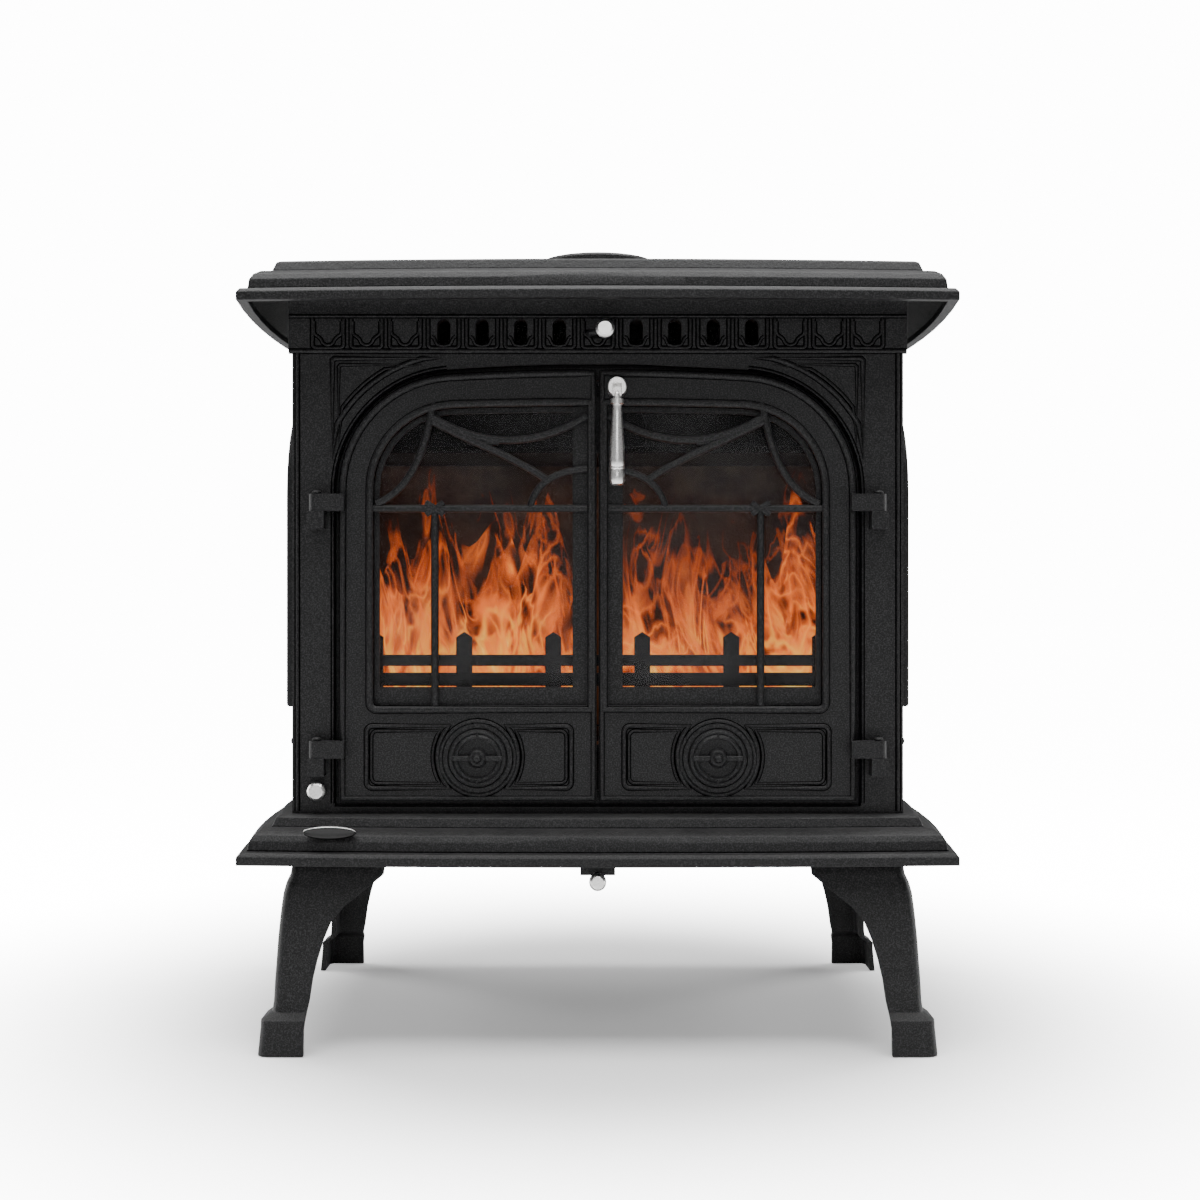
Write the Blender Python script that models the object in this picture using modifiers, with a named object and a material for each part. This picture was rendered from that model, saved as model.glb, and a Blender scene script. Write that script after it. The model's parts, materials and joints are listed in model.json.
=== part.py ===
"""A double-door cast-iron wood burning stove on four curved legs.

Metres, +Z up, front towards -Y, origin on the floor under the middle of the stove. Run it with
blender --background --python part.py, or from Blender's text editor.
"""
import math

import bmesh
import bpy
from mathutils import Matrix, Vector

GAP = 0.0003            # left between pieces that touch

# Plates: the top and the base share one bowed outline and one stepped edge moulding.
CORNER_X = 0.350        # half width at the lip corners
FRONT_CORNER_Y = -0.2065
REAR_Y = 0.2195
FRONT_BOW = 0.013       # how far the front edge swells past its corners
SIDE_BOW = 0.012
BASE_LIP_Z = 0.185
TOP_LIP_Z = 0.732
PLATE_HEIGHT = 0.045
PLATE_WALL = 0.008
# (inset from the lip, height above its lower edge), from the lip up to the flat top
MOULDING = [(0.0, 0.0), (0.0, 0.008), (0.003, 0.012), (0.0095, 0.013), (0.0105, 0.022),
            (0.014, 0.028), (0.020, 0.032), (0.0295, 0.034), (0.033, 0.043), (0.037, 0.045)]
BASE_TOP_Z = BASE_LIP_Z + PLATE_HEIGHT
TOP_UNDER_Z = TOP_LIP_Z + PLATE_HEIGHT - PLATE_WALL

# Body: upright castings between the two plates.
FACE_Y = -0.160         # front of the front frame
FLANGE_Y = -0.149       # front of the flange that the door rope presses on
FRAME_BACK_Y = -0.143
STILE_X = 0.3037
FRIEZE_X = 0.3075
FRIEZE_Z = 0.690        # underside of the frieze
SIDE_OUT_X = 0.2985
SIDE_IN_X = 0.2905
BACK_IN_Y = 0.1645
BACK_OUT_Y = 0.1725
BODY_BOTTOM_Z = BASE_TOP_Z + GAP
BODY_TOP_Z = TOP_UNDER_Z - GAP

# Door opening: every arch is concentric, a haunch arc that runs into a flat crown arc.
SPRING_Z = 0.5513
HAUNCH_X = 0.1415       # centre of the haunch arc
OPENING_X = 0.2615
OPENING_CROWN_Z = 0.6766
OPENING_BOTTOM_Z = 0.2365
FLANGE_WIDTH = 0.015

# Frieze slots and the knob slot between them.
SLOT_PITCH = 0.0383
SLOT_WIDTH = 0.0134
SLOT_LOW_Z = 0.695
SLOT_HIGH_Z = 0.7218

# Doors
DOOR_X = 0.2562
DOOR_CROWN_Z = 0.6703
DOOR_BOTTOM_Z = 0.2417
MEETING_X = 0.001
DOOR_FRONT_Y = -0.166
DOOR_BACK_Y = -0.1555
RECESS_Y = -0.158       # front of the ledge that the tracery lies on
RECESS = {"outer": 0.2219, "inner": 0.0106, "bottom": 0.3371, "crown": 0.6343}
WINDOW = {"outer": 0.2170, "inner": 0.0250, "bottom": 0.3555, "crown": 0.6290}
GLASS = {"outer": 0.2290, "inner": 0.0130, "bottom": 0.3435, "crown": 0.6400}
GLASS_THICK = 0.004
ROPE_RADIUS = 0.0029

# Hinges: a strap on the door turns on a pin that stands in a lug on the frame.
HINGE_X = 0.278
HINGE_Y = -0.168
HINGE_RADIUS = 0.0077
PIN_RADIUS = 0.003
BORE_RADIUS = 0.0038
STRAP_LEVELS = [(0.5299, 0.5467), (0.2857, 0.3027)]     # lower and upper face of each strap
LUG_HEIGHT = 0.0172

# Air valves
WHEEL_X = 0.119
WHEEL_Z = 0.2854
WHEEL_RADIUS = 0.0288
VALVE_HOLE = 0.022
BOSS_RADIUS = 0.0345

# Latch on the right door
LATCH_X = 0.019
LATCH_Z = 0.651
HANDLE_Y = -0.186
SPINDLE_RADIUS = 0.005

# Legs
FOOT_CORNER_X = 0.3306
FRONT_FOOT_Y = -0.2065
REAR_FOOT_Y = 0.2180
LEG_WALL = 0.006
# (height, how far the outer corner stands inside the foot corner, width of each plate)
LEG_SECTIONS = [(0.0, 0.000, 0.0456), (0.026, 0.0023, 0.0433), (0.034, 0.0026, 0.0442),
                (0.0405, 0.0120, 0.0350), (0.050, 0.0132, 0.0360), (0.072, 0.0142, 0.0382),
                (0.090, 0.0154, 0.0412), (0.110, 0.0166, 0.0460), (0.128, 0.0181, 0.0520),
                (0.142, 0.0195, 0.0630), (0.154, 0.0210, 0.0760), (0.164, 0.0235, 0.0865),
                (0.172, 0.0270, 0.0930), (0.186, 0.0290, 0.0930),
                (0.205, 0.0400, 0.0850), (0.2100, 0.0400, 0.0850), (0.2120, 0.0400, 0.0850),
                (0.2217, 0.0400, 0.0850)]
LEG_PAD_Z = 0.2110      # above this the leg thickens into its bolting pad
LEG_PAD_WALL = 0.040
FOOT_ROUND = 0.011

# Flue
FLUE_Y = 0.065
COLLAR_TOP_Z = 0.822
COLLAR_OUT = 0.066
COLLAR_IN = 0.060

# Air slides: each carries a turned knob on a shank or a rod.
SLIDE_THICK = 0.003
TOP_KNOB = (0.0071, -0.177, 0.7079)     # middle of the knob's back
UNDER_ROD_Z = 0.1703
UNDER_KNOB_Y = -0.200
UNDER_TAIL_Y = -0.100   # where the slide's rod starts

# Riddling gear: a rod by the left hinge, an arm across, and a lift up to the sliding grate.
RIDDLE_X = -0.2780
RIDDLE_Z = 0.2530
RIDDLE_KNOB_Y = -0.1635
RIDDLE_TAIL_Y = -0.060
RIDDLE_ARM = 0.004      # half the arm's thickness
RIDDLE_LIFT_X = (-0.2130, -0.2050)
RIDDLE_GRATE_Z = (0.2790, 0.2865)

# Fire chamber
BRICK_TOP_Z = 0.600
BRICK_BACK_Y = 0.1620
BAFFLE_FRONT_Y = -0.020
BAFFLE_THICK = 0.008
GRATE_FRAME_Z = (0.2870, 0.2950)
PAN_X = 0.195
PAN_Y = (-0.128, 0.125)
PAN_TOP_Z = 0.2680
PAN_WALL = 0.002
PAN_HANDLE_Z = 0.2400
PAN_HANDLE_X = 0.035
GUARD_FRONT_Y = -0.134
GUARD_BACK_Y = -0.126
GUARD_HALF = 0.2540     # half the length of its rails
GUARD_RAILS = [(0.3553, 0.3685), (0.3755, 0.3866)]      # lower and upper edge of each rail
GUARD_PITCH = 0.090
PICKET_HALF = 0.008
PICKET_FOOT_Z = 0.2960
PICKET_NECK_Z = 0.4045
PICKET_TIP_Z = 0.4098

# Badge: a blank oval on the front left of the base moulding.
BADGE_PLACE = (-0.2596, -0.2030, 0.2168)
BADGE_SIZE = (0.0255, 0.0075)           # half its length and half its width
BADGE_TILT = -42


def clear_scene():
    for old in list(bpy.data.objects):
        bpy.data.objects.remove(old, do_unlink=True)


def collection(name):
    group = bpy.data.collections.new(name)
    bpy.context.scene.collection.children.link(group)
    return group


clear_scene()
PARTS = collection("wood_stove")
CUTTERS = collection("cutters")


def material(name, colour, roughness, metallic):
    """A plain Principled material."""
    mat = bpy.data.materials.new(name)
    mat.use_nodes = True
    shader = mat.node_tree.nodes["Principled BSDF"]
    shader.inputs["Base Color"].default_value = (*colour, 1.0)
    shader.inputs["Roughness"].default_value = roughness
    shader.inputs["Metallic"].default_value = metallic
    return mat


FINISHES = {
    "iron": ((0.018, 0.018, 0.019), 0.62, 0.35),
    "chrome": ((0.72, 0.72, 0.70), 0.16, 1.0),
    "steel": ((0.42, 0.42, 0.41), 0.38, 1.0),
    "brick": ((0.62, 0.55, 0.42), 0.90, 0.0),
    "rope": ((0.30, 0.29, 0.27), 0.95, 0.0),
    "glass": ((0.75, 0.80, 0.78), 0.04, 0.0),
    "badge": ((0.05, 0.05, 0.05), 0.35, 0.6),
}


def add(name, mesh, finish, group=None):
    """Puts a mesh in the scene as one piece of the stove, with a material of its own."""
    piece = bpy.data.objects.new(name, mesh)
    (group or PARTS).objects.link(piece)
    if group is None:
        mesh.materials.clear()
        mesh.materials.append(material(name, *FINISHES[finish]))
    return piece


def as_mesh(name, work):
    """Turns a bmesh into a mesh with its faces pointing out."""
    bmesh.ops.recalc_face_normals(work, faces=work.faces)
    if work.calc_volume(signed=True) < 0:
        bmesh.ops.reverse_faces(work, faces=work.faces)
    mesh = bpy.data.meshes.new(name)
    work.to_mesh(mesh)
    work.free()
    return mesh


def tool(piece):
    """Makes a piece a cutter or a guide: it isn't part of the stove."""
    for group in list(piece.users_collection):
        group.objects.unlink(piece)
    CUTTERS.objects.link(piece)
    piece.hide_render = True
    piece.display_type = "WIRE"
    return piece


def boolean(piece, other, operation="DIFFERENCE", solver="EXACT"):
    """Cuts other out of piece, or joins it on."""
    step = piece.modifiers.new(operation.lower() + "_" + other.name, "BOOLEAN")
    step.operation = operation
    step.solver = solver
    step.object = tool(other)
    return piece



# ---------------------------------------------------------------- shapes

# Local X, Y, Z of a flat outline to the world, for a plate seen from the front, side or above
FACING = {
    "front": Matrix(((1, 0, 0), (0, 0, -1), (0, 1, 0))),
    "side": Matrix(((0, 0, 1), (1, 0, 0), (0, 1, 0))),
    "top": Matrix(((1, 0, 0), (0, 1, 0), (0, 0, 1))),
}
NORMAL_AXIS = {"front": 1, "side": 0, "top": 2}


def plate(name, outlines, low, high, facing, finish="iron"):
    """Extrudes a flat outline, and the holes that follow it, from low to high."""
    curve = bpy.data.curves.new(name, "CURVE")
    curve.dimensions = "2D"
    curve.fill_mode = "BOTH"
    curve.extrude = (high - low) / 2
    for outline in outlines:
        spline = curve.splines.new("POLY")
        spline.points.add(len(outline) - 1)
        for point, (x, y) in zip(spline.points, outline):
            point.co = (x, y, 0.0, 1.0)
        spline.use_cyclic_u = True
    return from_curve(name, curve, low, high, facing, finish)


def from_curve(name, curve, low, high, facing, finish):
    """Makes a filled curve a closed mesh, turned to face its way."""
    flat = bpy.data.objects.new(name + "_outline", curve)
    CUTTERS.objects.link(flat)
    bpy.context.view_layer.update()
    mesh = bpy.data.meshes.new_from_object(flat.evaluated_get(bpy.context.evaluated_depsgraph_get()))
    bpy.data.objects.remove(flat, do_unlink=True)
    work = bmesh.new()
    work.from_mesh(mesh)
    bmesh.ops.remove_doubles(work, verts=work.verts, dist=0.00001)
    place = FACING[facing].to_4x4()
    place.translation[NORMAL_AXIS[facing]] = (low + high) / 2
    bmesh.ops.transform(work, matrix=place, verts=work.verts)
    return add(name, as_mesh(name, work), finish)


def box(name, low, high, finish="iron"):
    work = bmesh.new()
    size = Vector(high) - Vector(low)
    place = Matrix.Translation((Vector(low) + Vector(high)) / 2) @ Matrix.Diagonal((*size, 1.0))
    bmesh.ops.create_cube(work, size=1.0, matrix=place)
    return add(name, as_mesh(name, work), finish)


def turned(name, profile, centre, axis, finish="iron", steps=24, ring=False):
    """A lathe-turned piece: profile is (radius, height) from the top down its outer side."""
    mesh = bpy.data.meshes.new(name)
    count = len(profile)
    edges = [(i, i + 1) for i in range(count - 1)]
    if ring:
        edges.append((count - 1, 0))
    mesh.from_pydata([(radius, 0.0, height) for radius, height in profile], edges, [])
    piece = add(name, mesh, finish)
    screw = piece.modifiers.new("turn", "SCREW")
    screw.steps = steps
    screw.render_steps = steps
    screw.use_merge_vertices = True
    screw.merge_threshold = 0.00005
    screw.use_smooth_shade = True
    piece.location = centre
    piece.rotation_euler = {"up": (0, 0, 0), "front": (math.pi / 2, 0, 0),
                            "right": (0, math.pi / 2, 0), "left": (0, -math.pi / 2, 0)}[axis]
    return piece


def rod(name, radius, start, length, axis, finish="steel", steps=16):
    """A plain round bar from start along its axis."""
    profile = [(0.0, length), (radius, length), (radius, 0.0), (0.0, 0.0)]
    return turned(name, profile, start, axis, finish, steps)


def sweep(name, points, radius, finish="iron", sides=2, closed=False):
    """A round bar along a line of points."""
    curve = bpy.data.curves.new(name, "CURVE")
    curve.dimensions = "3D"
    curve.bevel_depth = radius
    curve.bevel_resolution = sides
    curve.use_fill_caps = not closed
    spline = curve.splines.new("POLY")
    spline.points.add(len(points) - 1)
    for point, place in zip(spline.points, points):
        point.co = (*place, 1.0)
    spline.use_cyclic_u = closed
    wire = bpy.data.objects.new(name + "_line", curve)
    CUTTERS.objects.link(wire)
    bpy.context.view_layer.update()
    mesh = bpy.data.meshes.new_from_object(wire.evaluated_get(bpy.context.evaluated_depsgraph_get()))
    bpy.data.objects.remove(wire, do_unlink=True)
    work = bmesh.new()
    work.from_mesh(mesh)
    bmesh.ops.remove_doubles(work, verts=work.verts, dist=0.00001)
    return add(name, as_mesh(name, work), finish)


def loft(name, rings, finish="iron"):
    """Skins a stack of matching closed rings and caps both ends."""
    work = bmesh.new()
    rows = [[work.verts.new(point) for point in ring] for ring in rings]
    for lower, upper in zip(rows, rows[1:]):
        for i in range(len(lower)):
            k = (i + 1) % len(lower)
            work.faces.new((lower[i], lower[k], upper[k], upper[i]))
    work.faces.new(rows[0])
    work.faces.new(rows[-1])
    return add(name, as_mesh(name, work), finish)


# ---------------------------------------------------------------- outlines

def circle(x, y, radius, count=24):
    turn = 2 * math.pi / count
    return [(x + radius * math.cos(i * turn), y + radius * math.sin(i * turn)) for i in range(count)]


def bowed_outline(inset, z):
    """The plates' outline, swollen at the front and the sides, drawn in by inset."""
    half = CORNER_X - inset
    front = FRONT_CORNER_Y + inset
    rear = REAR_Y - inset
    ring = []
    for i in range(9):
        t = i / 8
        ring.append((half * (2 * t - 1), front - FRONT_BOW * 4 * t * (1 - t), z))
    for i in range(1, 7):
        t = i / 7
        ring.append((half + SIDE_BOW * 4 * t * (1 - t), front + (rear - front) * t, z))
    ring.append((half, rear, z))
    ring.append((-half, rear, z))
    for i in range(6, 0, -1):
        t = i / 7
        ring.append((-half - SIDE_BOW * 4 * t * (1 - t), front + (rear - front) * t, z))
    return ring


def arch_top(half, crown_z, haunch_steps=7, crown_steps=4):
    """Right half of a three-centred arch, from its springing up to just before the crown."""
    haunch = half - HAUNCH_X
    rise = crown_z - SPRING_Z
    radius = (HAUNCH_X ** 2 + rise ** 2 - haunch ** 2) / (2 * (rise - haunch))
    lean = math.asin(HAUNCH_X / (radius - haunch))
    points = []
    for i in range(haunch_steps + 1):
        angle = (math.pi / 2 - lean) * i / haunch_steps
        points.append((HAUNCH_X + haunch * math.cos(angle), SPRING_Z + haunch * math.sin(angle)))
    for i in range(1, crown_steps):
        angle = lean * (1 - i / crown_steps)
        points.append((radius * math.sin(angle), crown_z - radius * (1 - math.cos(angle))))
    return points


def arch_outline(half, bottom, crown_z):
    """A whole arched opening, standing on a flat sill."""
    right = arch_top(half, crown_z)
    left = [(-x, z) for x, z in reversed(right)]
    return [(half, bottom)] + right + [(0.0, crown_z)] + left + [(-half, bottom)]


def leaf_outline(side, outer, inner, bottom, crown):
    """One door's half of an arched outline; side is -1 for the left door, 1 for the right."""
    right = [(x, z) for x, z in arch_top(outer, crown) if x > inner]
    points = [(inner, bottom), (outer, bottom)] + right + [(inner, crown)]
    return [(side * x, z) for x, z in points]


def slot_outline(x, low, high, width):
    """An upright slot with round ends."""
    radius = width / 2
    points = []
    for i in range(7):
        angle = math.pi * i / 6
        points.append((x + radius * math.cos(angle), high - radius + radius * math.sin(angle)))
    for i in range(7):
        angle = math.pi * (1 + i / 6)
        points.append((x + radius * math.cos(angle), low + radius + radius * math.sin(angle)))
    return points


def round_box(x_low, y_low, x_high, y_high):
    return [(x_low, y_low), (x_high, y_low), (x_high, y_high), (x_low, y_high)]


# ---------------------------------------------------------------- plates and body

def moulded_plate(name, lip_z):
    """A hollow casting: the stepped moulding outside, an open underside within the rim."""
    outside = [bowed_outline(inset, lip_z + height) for inset, height in MOULDING]
    inner_top = PLATE_HEIGHT - PLATE_WALL
    hollow = [bowed_outline(0.037, lip_z + inner_top), bowed_outline(0.022, lip_z + 0.024),
              bowed_outline(0.010, lip_z + 0.006), bowed_outline(0.010, lip_z)]
    work = bmesh.new()
    rows = [[work.verts.new(point) for point in ring] for ring in hollow + outside]
    for lower, upper in zip(rows, rows[1:]):
        for i in range(len(lower)):
            k = (i + 1) % len(lower)
            work.faces.new((lower[i], lower[k], upper[k], upper[i]))
    work.faces.new(rows[0])
    work.faces.new(rows[-1])
    return add(name, as_mesh(name, work), "iron")


def top_plate():
    piece = moulded_plate("top_plate", TOP_LIP_Z)
    hole = rod("flue_hole", COLLAR_IN, (0, FLUE_Y, TOP_LIP_Z), 0.1, "up", steps=32)
    boolean(piece, hole)
    top = TOP_LIP_Z + PLATE_HEIGHT + GAP
    profile = [(COLLAR_OUT - 0.003, COLLAR_TOP_Z), (COLLAR_OUT, COLLAR_TOP_Z - 0.003),
               (COLLAR_OUT, top + 0.008), (0.080, top + 0.006), (0.080, top), (COLLAR_IN, top),
               (COLLAR_IN, COLLAR_TOP_Z)]
    turned("flue_collar", profile, (0, FLUE_Y, 0), "up", steps=32, ring=True)


AIR_HOLE = (-0.060, -0.035)     # front and back of the air hole in the base
UNDER_BASE_Z = BASE_TOP_Z - PLATE_WALL
BOLT_RADIUS = 0.004


def bolt_places():
    """Where each leg is bolted to the base: its corner's name, x, y and the two directions in."""
    for end, foot_y, inward_y in (("front", FRONT_FOOT_Y, 1), ("rear", REAR_FOOT_Y, -1)):
        for side, sign in (("left", -1), ("right", 1)):
            yield f"{end}_{side}", sign * 0.272, foot_y + inward_y * 0.0586, -sign, inward_y


def base_plate():
    piece = moulded_plate("base_plate", BASE_LIP_Z)
    boolean(piece, box("air_hole", (-0.03, AIR_HOLE[0], 0.2), (0.03, AIR_HOLE[1], 0.25)))
    for corner, x, y, _, _ in bolt_places():
        boolean(piece, rod("hole_" + corner, BOLT_RADIUS + 0.001, (x, y, 0.2), 0.05, "up", steps=10))


def front_frame():
    outline = [(-STILE_X, BODY_BOTTOM_Z), (STILE_X, BODY_BOTTOM_Z), (STILE_X, FRIEZE_Z),
               (FRIEZE_X, FRIEZE_Z), (FRIEZE_X, BODY_TOP_Z), (-FRIEZE_X, BODY_TOP_Z),
               (-FRIEZE_X, FRIEZE_Z), (-STILE_X, FRIEZE_Z)]
    opening = arch_outline(OPENING_X - FLANGE_WIDTH, OPENING_BOTTOM_Z + FLANGE_WIDTH,
                           OPENING_CROWN_Z - FLANGE_WIDTH)
    slots = [slot_outline(side * i * SLOT_PITCH, SLOT_LOW_Z, SLOT_HIGH_Z, SLOT_WIDTH)
             for side in (-1, 1) for i in range(1, 5)]
    knob_slot = round_box(-0.0140, 0.7020, 0.0140, 0.7110)
    piece = plate("front_frame", [outline, opening, knob_slot] + slots, FACE_Y, FRAME_BACK_Y, "front")
    rebate = arch_outline(OPENING_X, OPENING_BOTTOM_Z, OPENING_CROWN_Z)
    boolean(piece, plate("rebate", [rebate], FACE_Y - 0.01, FLANGE_Y, "front"), solver="MANIFOLD")
    for side in (-1, 1):
        for level, (low, _) in enumerate(STRAP_LEVELS):
            add_lug(piece, side, level, low - GAP)


def add_lug(piece, side, level, top):
    """Joins a bored hinge lug to the frame, under one of the door's straps."""
    name = f"lug_{side}_{level}"
    low = (side * HINGE_X - 0.0082, HINGE_Y - 0.008, top - LUG_HEIGHT)
    high = (side * HINGE_X + 0.0082, FACE_Y + 0.004, top)
    boolean(piece, box(name, low, high), "UNION")
    start = (side * HINGE_X, HINGE_Y, top - LUG_HEIGHT - 0.002)
    boolean(piece, rod(name + "_bore", BORE_RADIUS, start, LUG_HEIGHT + 0.004, "up", steps=12))


def panels():
    for side, name in ((-1, "left"), (1, "right")):
        low, high = sorted((side * SIDE_IN_X, side * SIDE_OUT_X))
        box(f"{name}_side_panel", (low, FRAME_BACK_Y + GAP, BODY_BOTTOM_Z),
            (high, BACK_IN_Y - GAP, BODY_TOP_Z))
        side_shield(side, name)
    outline = round_box(-SIDE_OUT_X, BODY_BOTTOM_Z, SIDE_OUT_X, BODY_TOP_Z)
    plate("back_panel", [outline, circle(0, 0.640, 0.058, 32)], BACK_IN_Y, BACK_OUT_Y, "front")
    profile = [(0, 0.010), (0.060, 0.010), (0.064, 0.006), (0.075, 0.006), (0.075, 0), (0, 0)]
    turned("rear_blanking_plate", [(r, -h) for r, h in reversed(profile)],
           (0, BACK_OUT_Y + GAP, 0.640), "front", steps=32)


SHIELD_OUT_X = 0.3214
SHIELD_HALF = 0.1095
SHIELD_MID_Y = 0.0125
SHIELD_BOTTOM_Z = 0.332


def side_shield(side, name):
    """The arched heat shield: a shallow pan that stands off the side panel."""
    arc = [(SHIELD_MID_Y + SHIELD_HALF * math.cos(math.pi * i / 16),
            SPRING_Z + SHIELD_HALF * math.sin(math.pi * i / 16)) for i in range(17)]
    outline = [(SHIELD_MID_Y - SHIELD_HALF, SHIELD_BOTTOM_Z),
               (SHIELD_MID_Y + SHIELD_HALF, SHIELD_BOTTOM_Z)] + arc
    low, high = sorted((side * (SIDE_OUT_X + GAP), side * SHIELD_OUT_X))
    piece = plate(f"{name}_side_shield", [outline], low, high, "side")
    middle = Vector((0, SHIELD_MID_Y, 0.5))
    inner = [(SHIELD_MID_Y + (y - SHIELD_MID_Y) * 0.93, middle.z + (z - middle.z) * 0.94)
             for y, z in outline]
    low, high = sorted((side * SIDE_IN_X, side * (SHIELD_OUT_X - 0.006)))
    boolean(piece, plate(f"{name}_shield_hollow", [inner], low, high, "side"))
    screw = [(0, 0.0155), (0.003, 0.0145), (0.005, 0.011), (0.005, 0), (0, 0)]
    turned(f"{name}_side_screw", screw, (side * (SIDE_OUT_X + GAP), -0.11, 0.298), name, steps=12)


# ---------------------------------------------------------------- legs

def leg_ring(x_sign, y_sign, foot_y, section):
    """L-shaped section of a corner leg with a rounded outer corner."""
    z, inset, width = section
    wall = LEG_PAD_WALL if z > LEG_PAD_Z else LEG_WALL
    corner = [(FOOT_ROUND * (1 - math.cos(a)), FOOT_ROUND * (1 - math.sin(a)))
              for a in (math.pi / 6 * i for i in range(4))]
    far = [(width, 0), (width, wall), (wall + 0.004, wall), (wall, wall + 0.004), (wall, width),
           (0, width)]
    ring = []
    for x, y in corner + far:
        ring.append((x_sign * (-FOOT_CORNER_X + inset + x), foot_y + y_sign * (inset + y), z))
    return ring


def legs():
    for corner, bolt_x, bolt_y, x_sign, inward in bolt_places():
        foot_y = FRONT_FOOT_Y if inward > 0 else REAR_FOOT_Y
        sections = LEG_SECTIONS[:-1] + [(UNDER_BASE_Z - GAP, *LEG_SECTIONS[-1][1:])]
        rings = [leg_ring(x_sign, inward, foot_y, section) for section in sections]
        piece = loft(f"{corner}_leg", rings)
        bore = rod(f"{corner}_bore", BOLT_RADIUS + 0.001, (bolt_x, bolt_y, 0.2), 0.05, "up", steps=10)
        boolean(piece, bore, solver="MANIFOLD")
        head = 0.0065
        profile = [(0, 0.2290), (BOLT_RADIUS, 0.2290), (BOLT_RADIUS, 0.2100 - GAP),
                   (head, 0.2100 - GAP), (head, 0.2045), (0, 0.2045)]
        turned(f"{corner}_leg_bolt", profile, (bolt_x, bolt_y, 0), "up", "steel", steps=12)


# ---------------------------------------------------------------- doors

SIDES = ((-1, "left"), (1, "right"))


def door(side, name):
    """The door casting: arched leaf, window, ledge, valve boss and two hinge straps."""
    leaf = leaf_outline(side, DOOR_X, MEETING_X, DOOR_BOTTOM_Z, DOOR_CROWN_Z)
    window = leaf_outline(side, WINDOW["outer"], WINDOW["inner"], WINDOW["bottom"], WINDOW["crown"])
    recess = leaf_outline(side, RECESS["outer"], RECESS["inner"], RECESS["bottom"], RECESS["crown"])
    holes = [window] + half_moons(side)
    piece = plate(f"{name}_door", [leaf] + holes, DOOR_FRONT_Y + 0.002, DOOR_BACK_Y, "front")
    boolean(piece, plate(f"{name}_recess", [recess], DOOR_FRONT_Y - 0.01, RECESS_Y, "front"))
    boss = rod(f"{name}_boss", BOSS_RADIUS, (side * WHEEL_X, DOOR_BACK_Y - 0.002, WHEEL_Z),
               DOOR_BACK_Y - 0.002 - DOOR_FRONT_Y, "front", steps=24)
    well = rod(f"{name}_well", WHEEL_RADIUS + 0.0012, (side * WHEEL_X, DOOR_BACK_Y - 0.0065, WHEEL_Z),
               0.02, "front", steps=24)
    boolean(piece, boss, "UNION", "MANIFOLD")
    for moon, outline in enumerate(half_moons(side)):
        boolean(piece, plate(f"{name}_moon_{moon}", [outline], -0.18, -0.15, "front"), solver="MANIFOLD")
    boolean(piece, well, solver="MANIFOLD")
    bore = rod(f"{name}_valve_bore", 0.0037, (side * WHEEL_X, -0.14, WHEEL_Z), 0.04, "front", steps=10)
    boolean(piece, bore, solver="MANIFOLD")
    for level, (low, high) in enumerate(STRAP_LEVELS):
        add_strap(piece, side, name, level, low, high)
    return piece


def half_moons(side):
    """Two air holes left and right of the bridge that carries the valve spindle."""
    moons = []
    bridge = 0.007
    lean = math.asin(bridge / VALVE_HOLE)
    for turn in (0, math.pi):
        arc = [turn - math.pi / 2 + lean + (math.pi - 2 * lean) * i / 8 for i in range(9)]
        moons.append([(side * WHEEL_X + VALVE_HOLE * math.cos(a), WHEEL_Z + VALVE_HOLE * math.sin(a))
                      for a in arc])
    return moons


def add_strap(piece, side, name, level, low, high):
    """Joins a bored hinge strap with a round knuckle to the door's outer edge."""
    reach = HINGE_X - DOOR_X + 0.006
    arc = [math.pi / 2 + math.pi * i / 10 for i in range(11)]
    outline = [(HINGE_RADIUS * math.cos(a), HINGE_RADIUS * math.sin(a)) for a in arc]
    outline += [(reach, -HINGE_RADIUS), (reach, HINGE_RADIUS)]
    placed = [(side * (HINGE_X - x), HINGE_Y + y) for x, y in outline]
    strap = plate(f"{name}_strap_{level}", [placed], low, high, "top")
    boolean(piece, strap, "UNION", "MANIFOLD")
    start = (side * HINGE_X, HINGE_Y, low - 0.002)
    bore = rod(f"{name}_strap_bore_{level}", BORE_RADIUS, start, high - low + 0.004, "up", steps=12)
    boolean(piece, bore, solver="MANIFOLD")


def hinge_pins():
    for side, name in SIDES:
        for level, label in ((1, "lower"), (0, "upper")):
            low, high = STRAP_LEVELS[level]
            foot = low - LUG_HEIGHT - 0.001
            profile = [(0, high + 0.004), (0.0035, high + 0.0035), (0.0048, high + 0.002),
                       (0.0048, high + 0.0005), (PIN_RADIUS, high + 0.0005), (PIN_RADIUS, foot),
                       (0, foot)]
            turned(f"{name}_{label}_hinge_pin", profile, (side * HINGE_X, HINGE_Y, 0), "up", "steel", 12)


def at(side, points, y):
    """Left-door points in the door's plane, mirrored for the right door."""
    return [(-side * x, y, z) for x, z in points]


def curve_points(start, bend, end, count=8):
    """Points along a curve with one control point."""
    points = []
    for i in range(count + 1):
        t = i / count
        points.append(tuple(a * (1 - t) ** 2 + 2 * b * t * (1 - t) + c * t * t
                            for a, b, c in zip(start, bend, end)))
    return points


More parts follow.
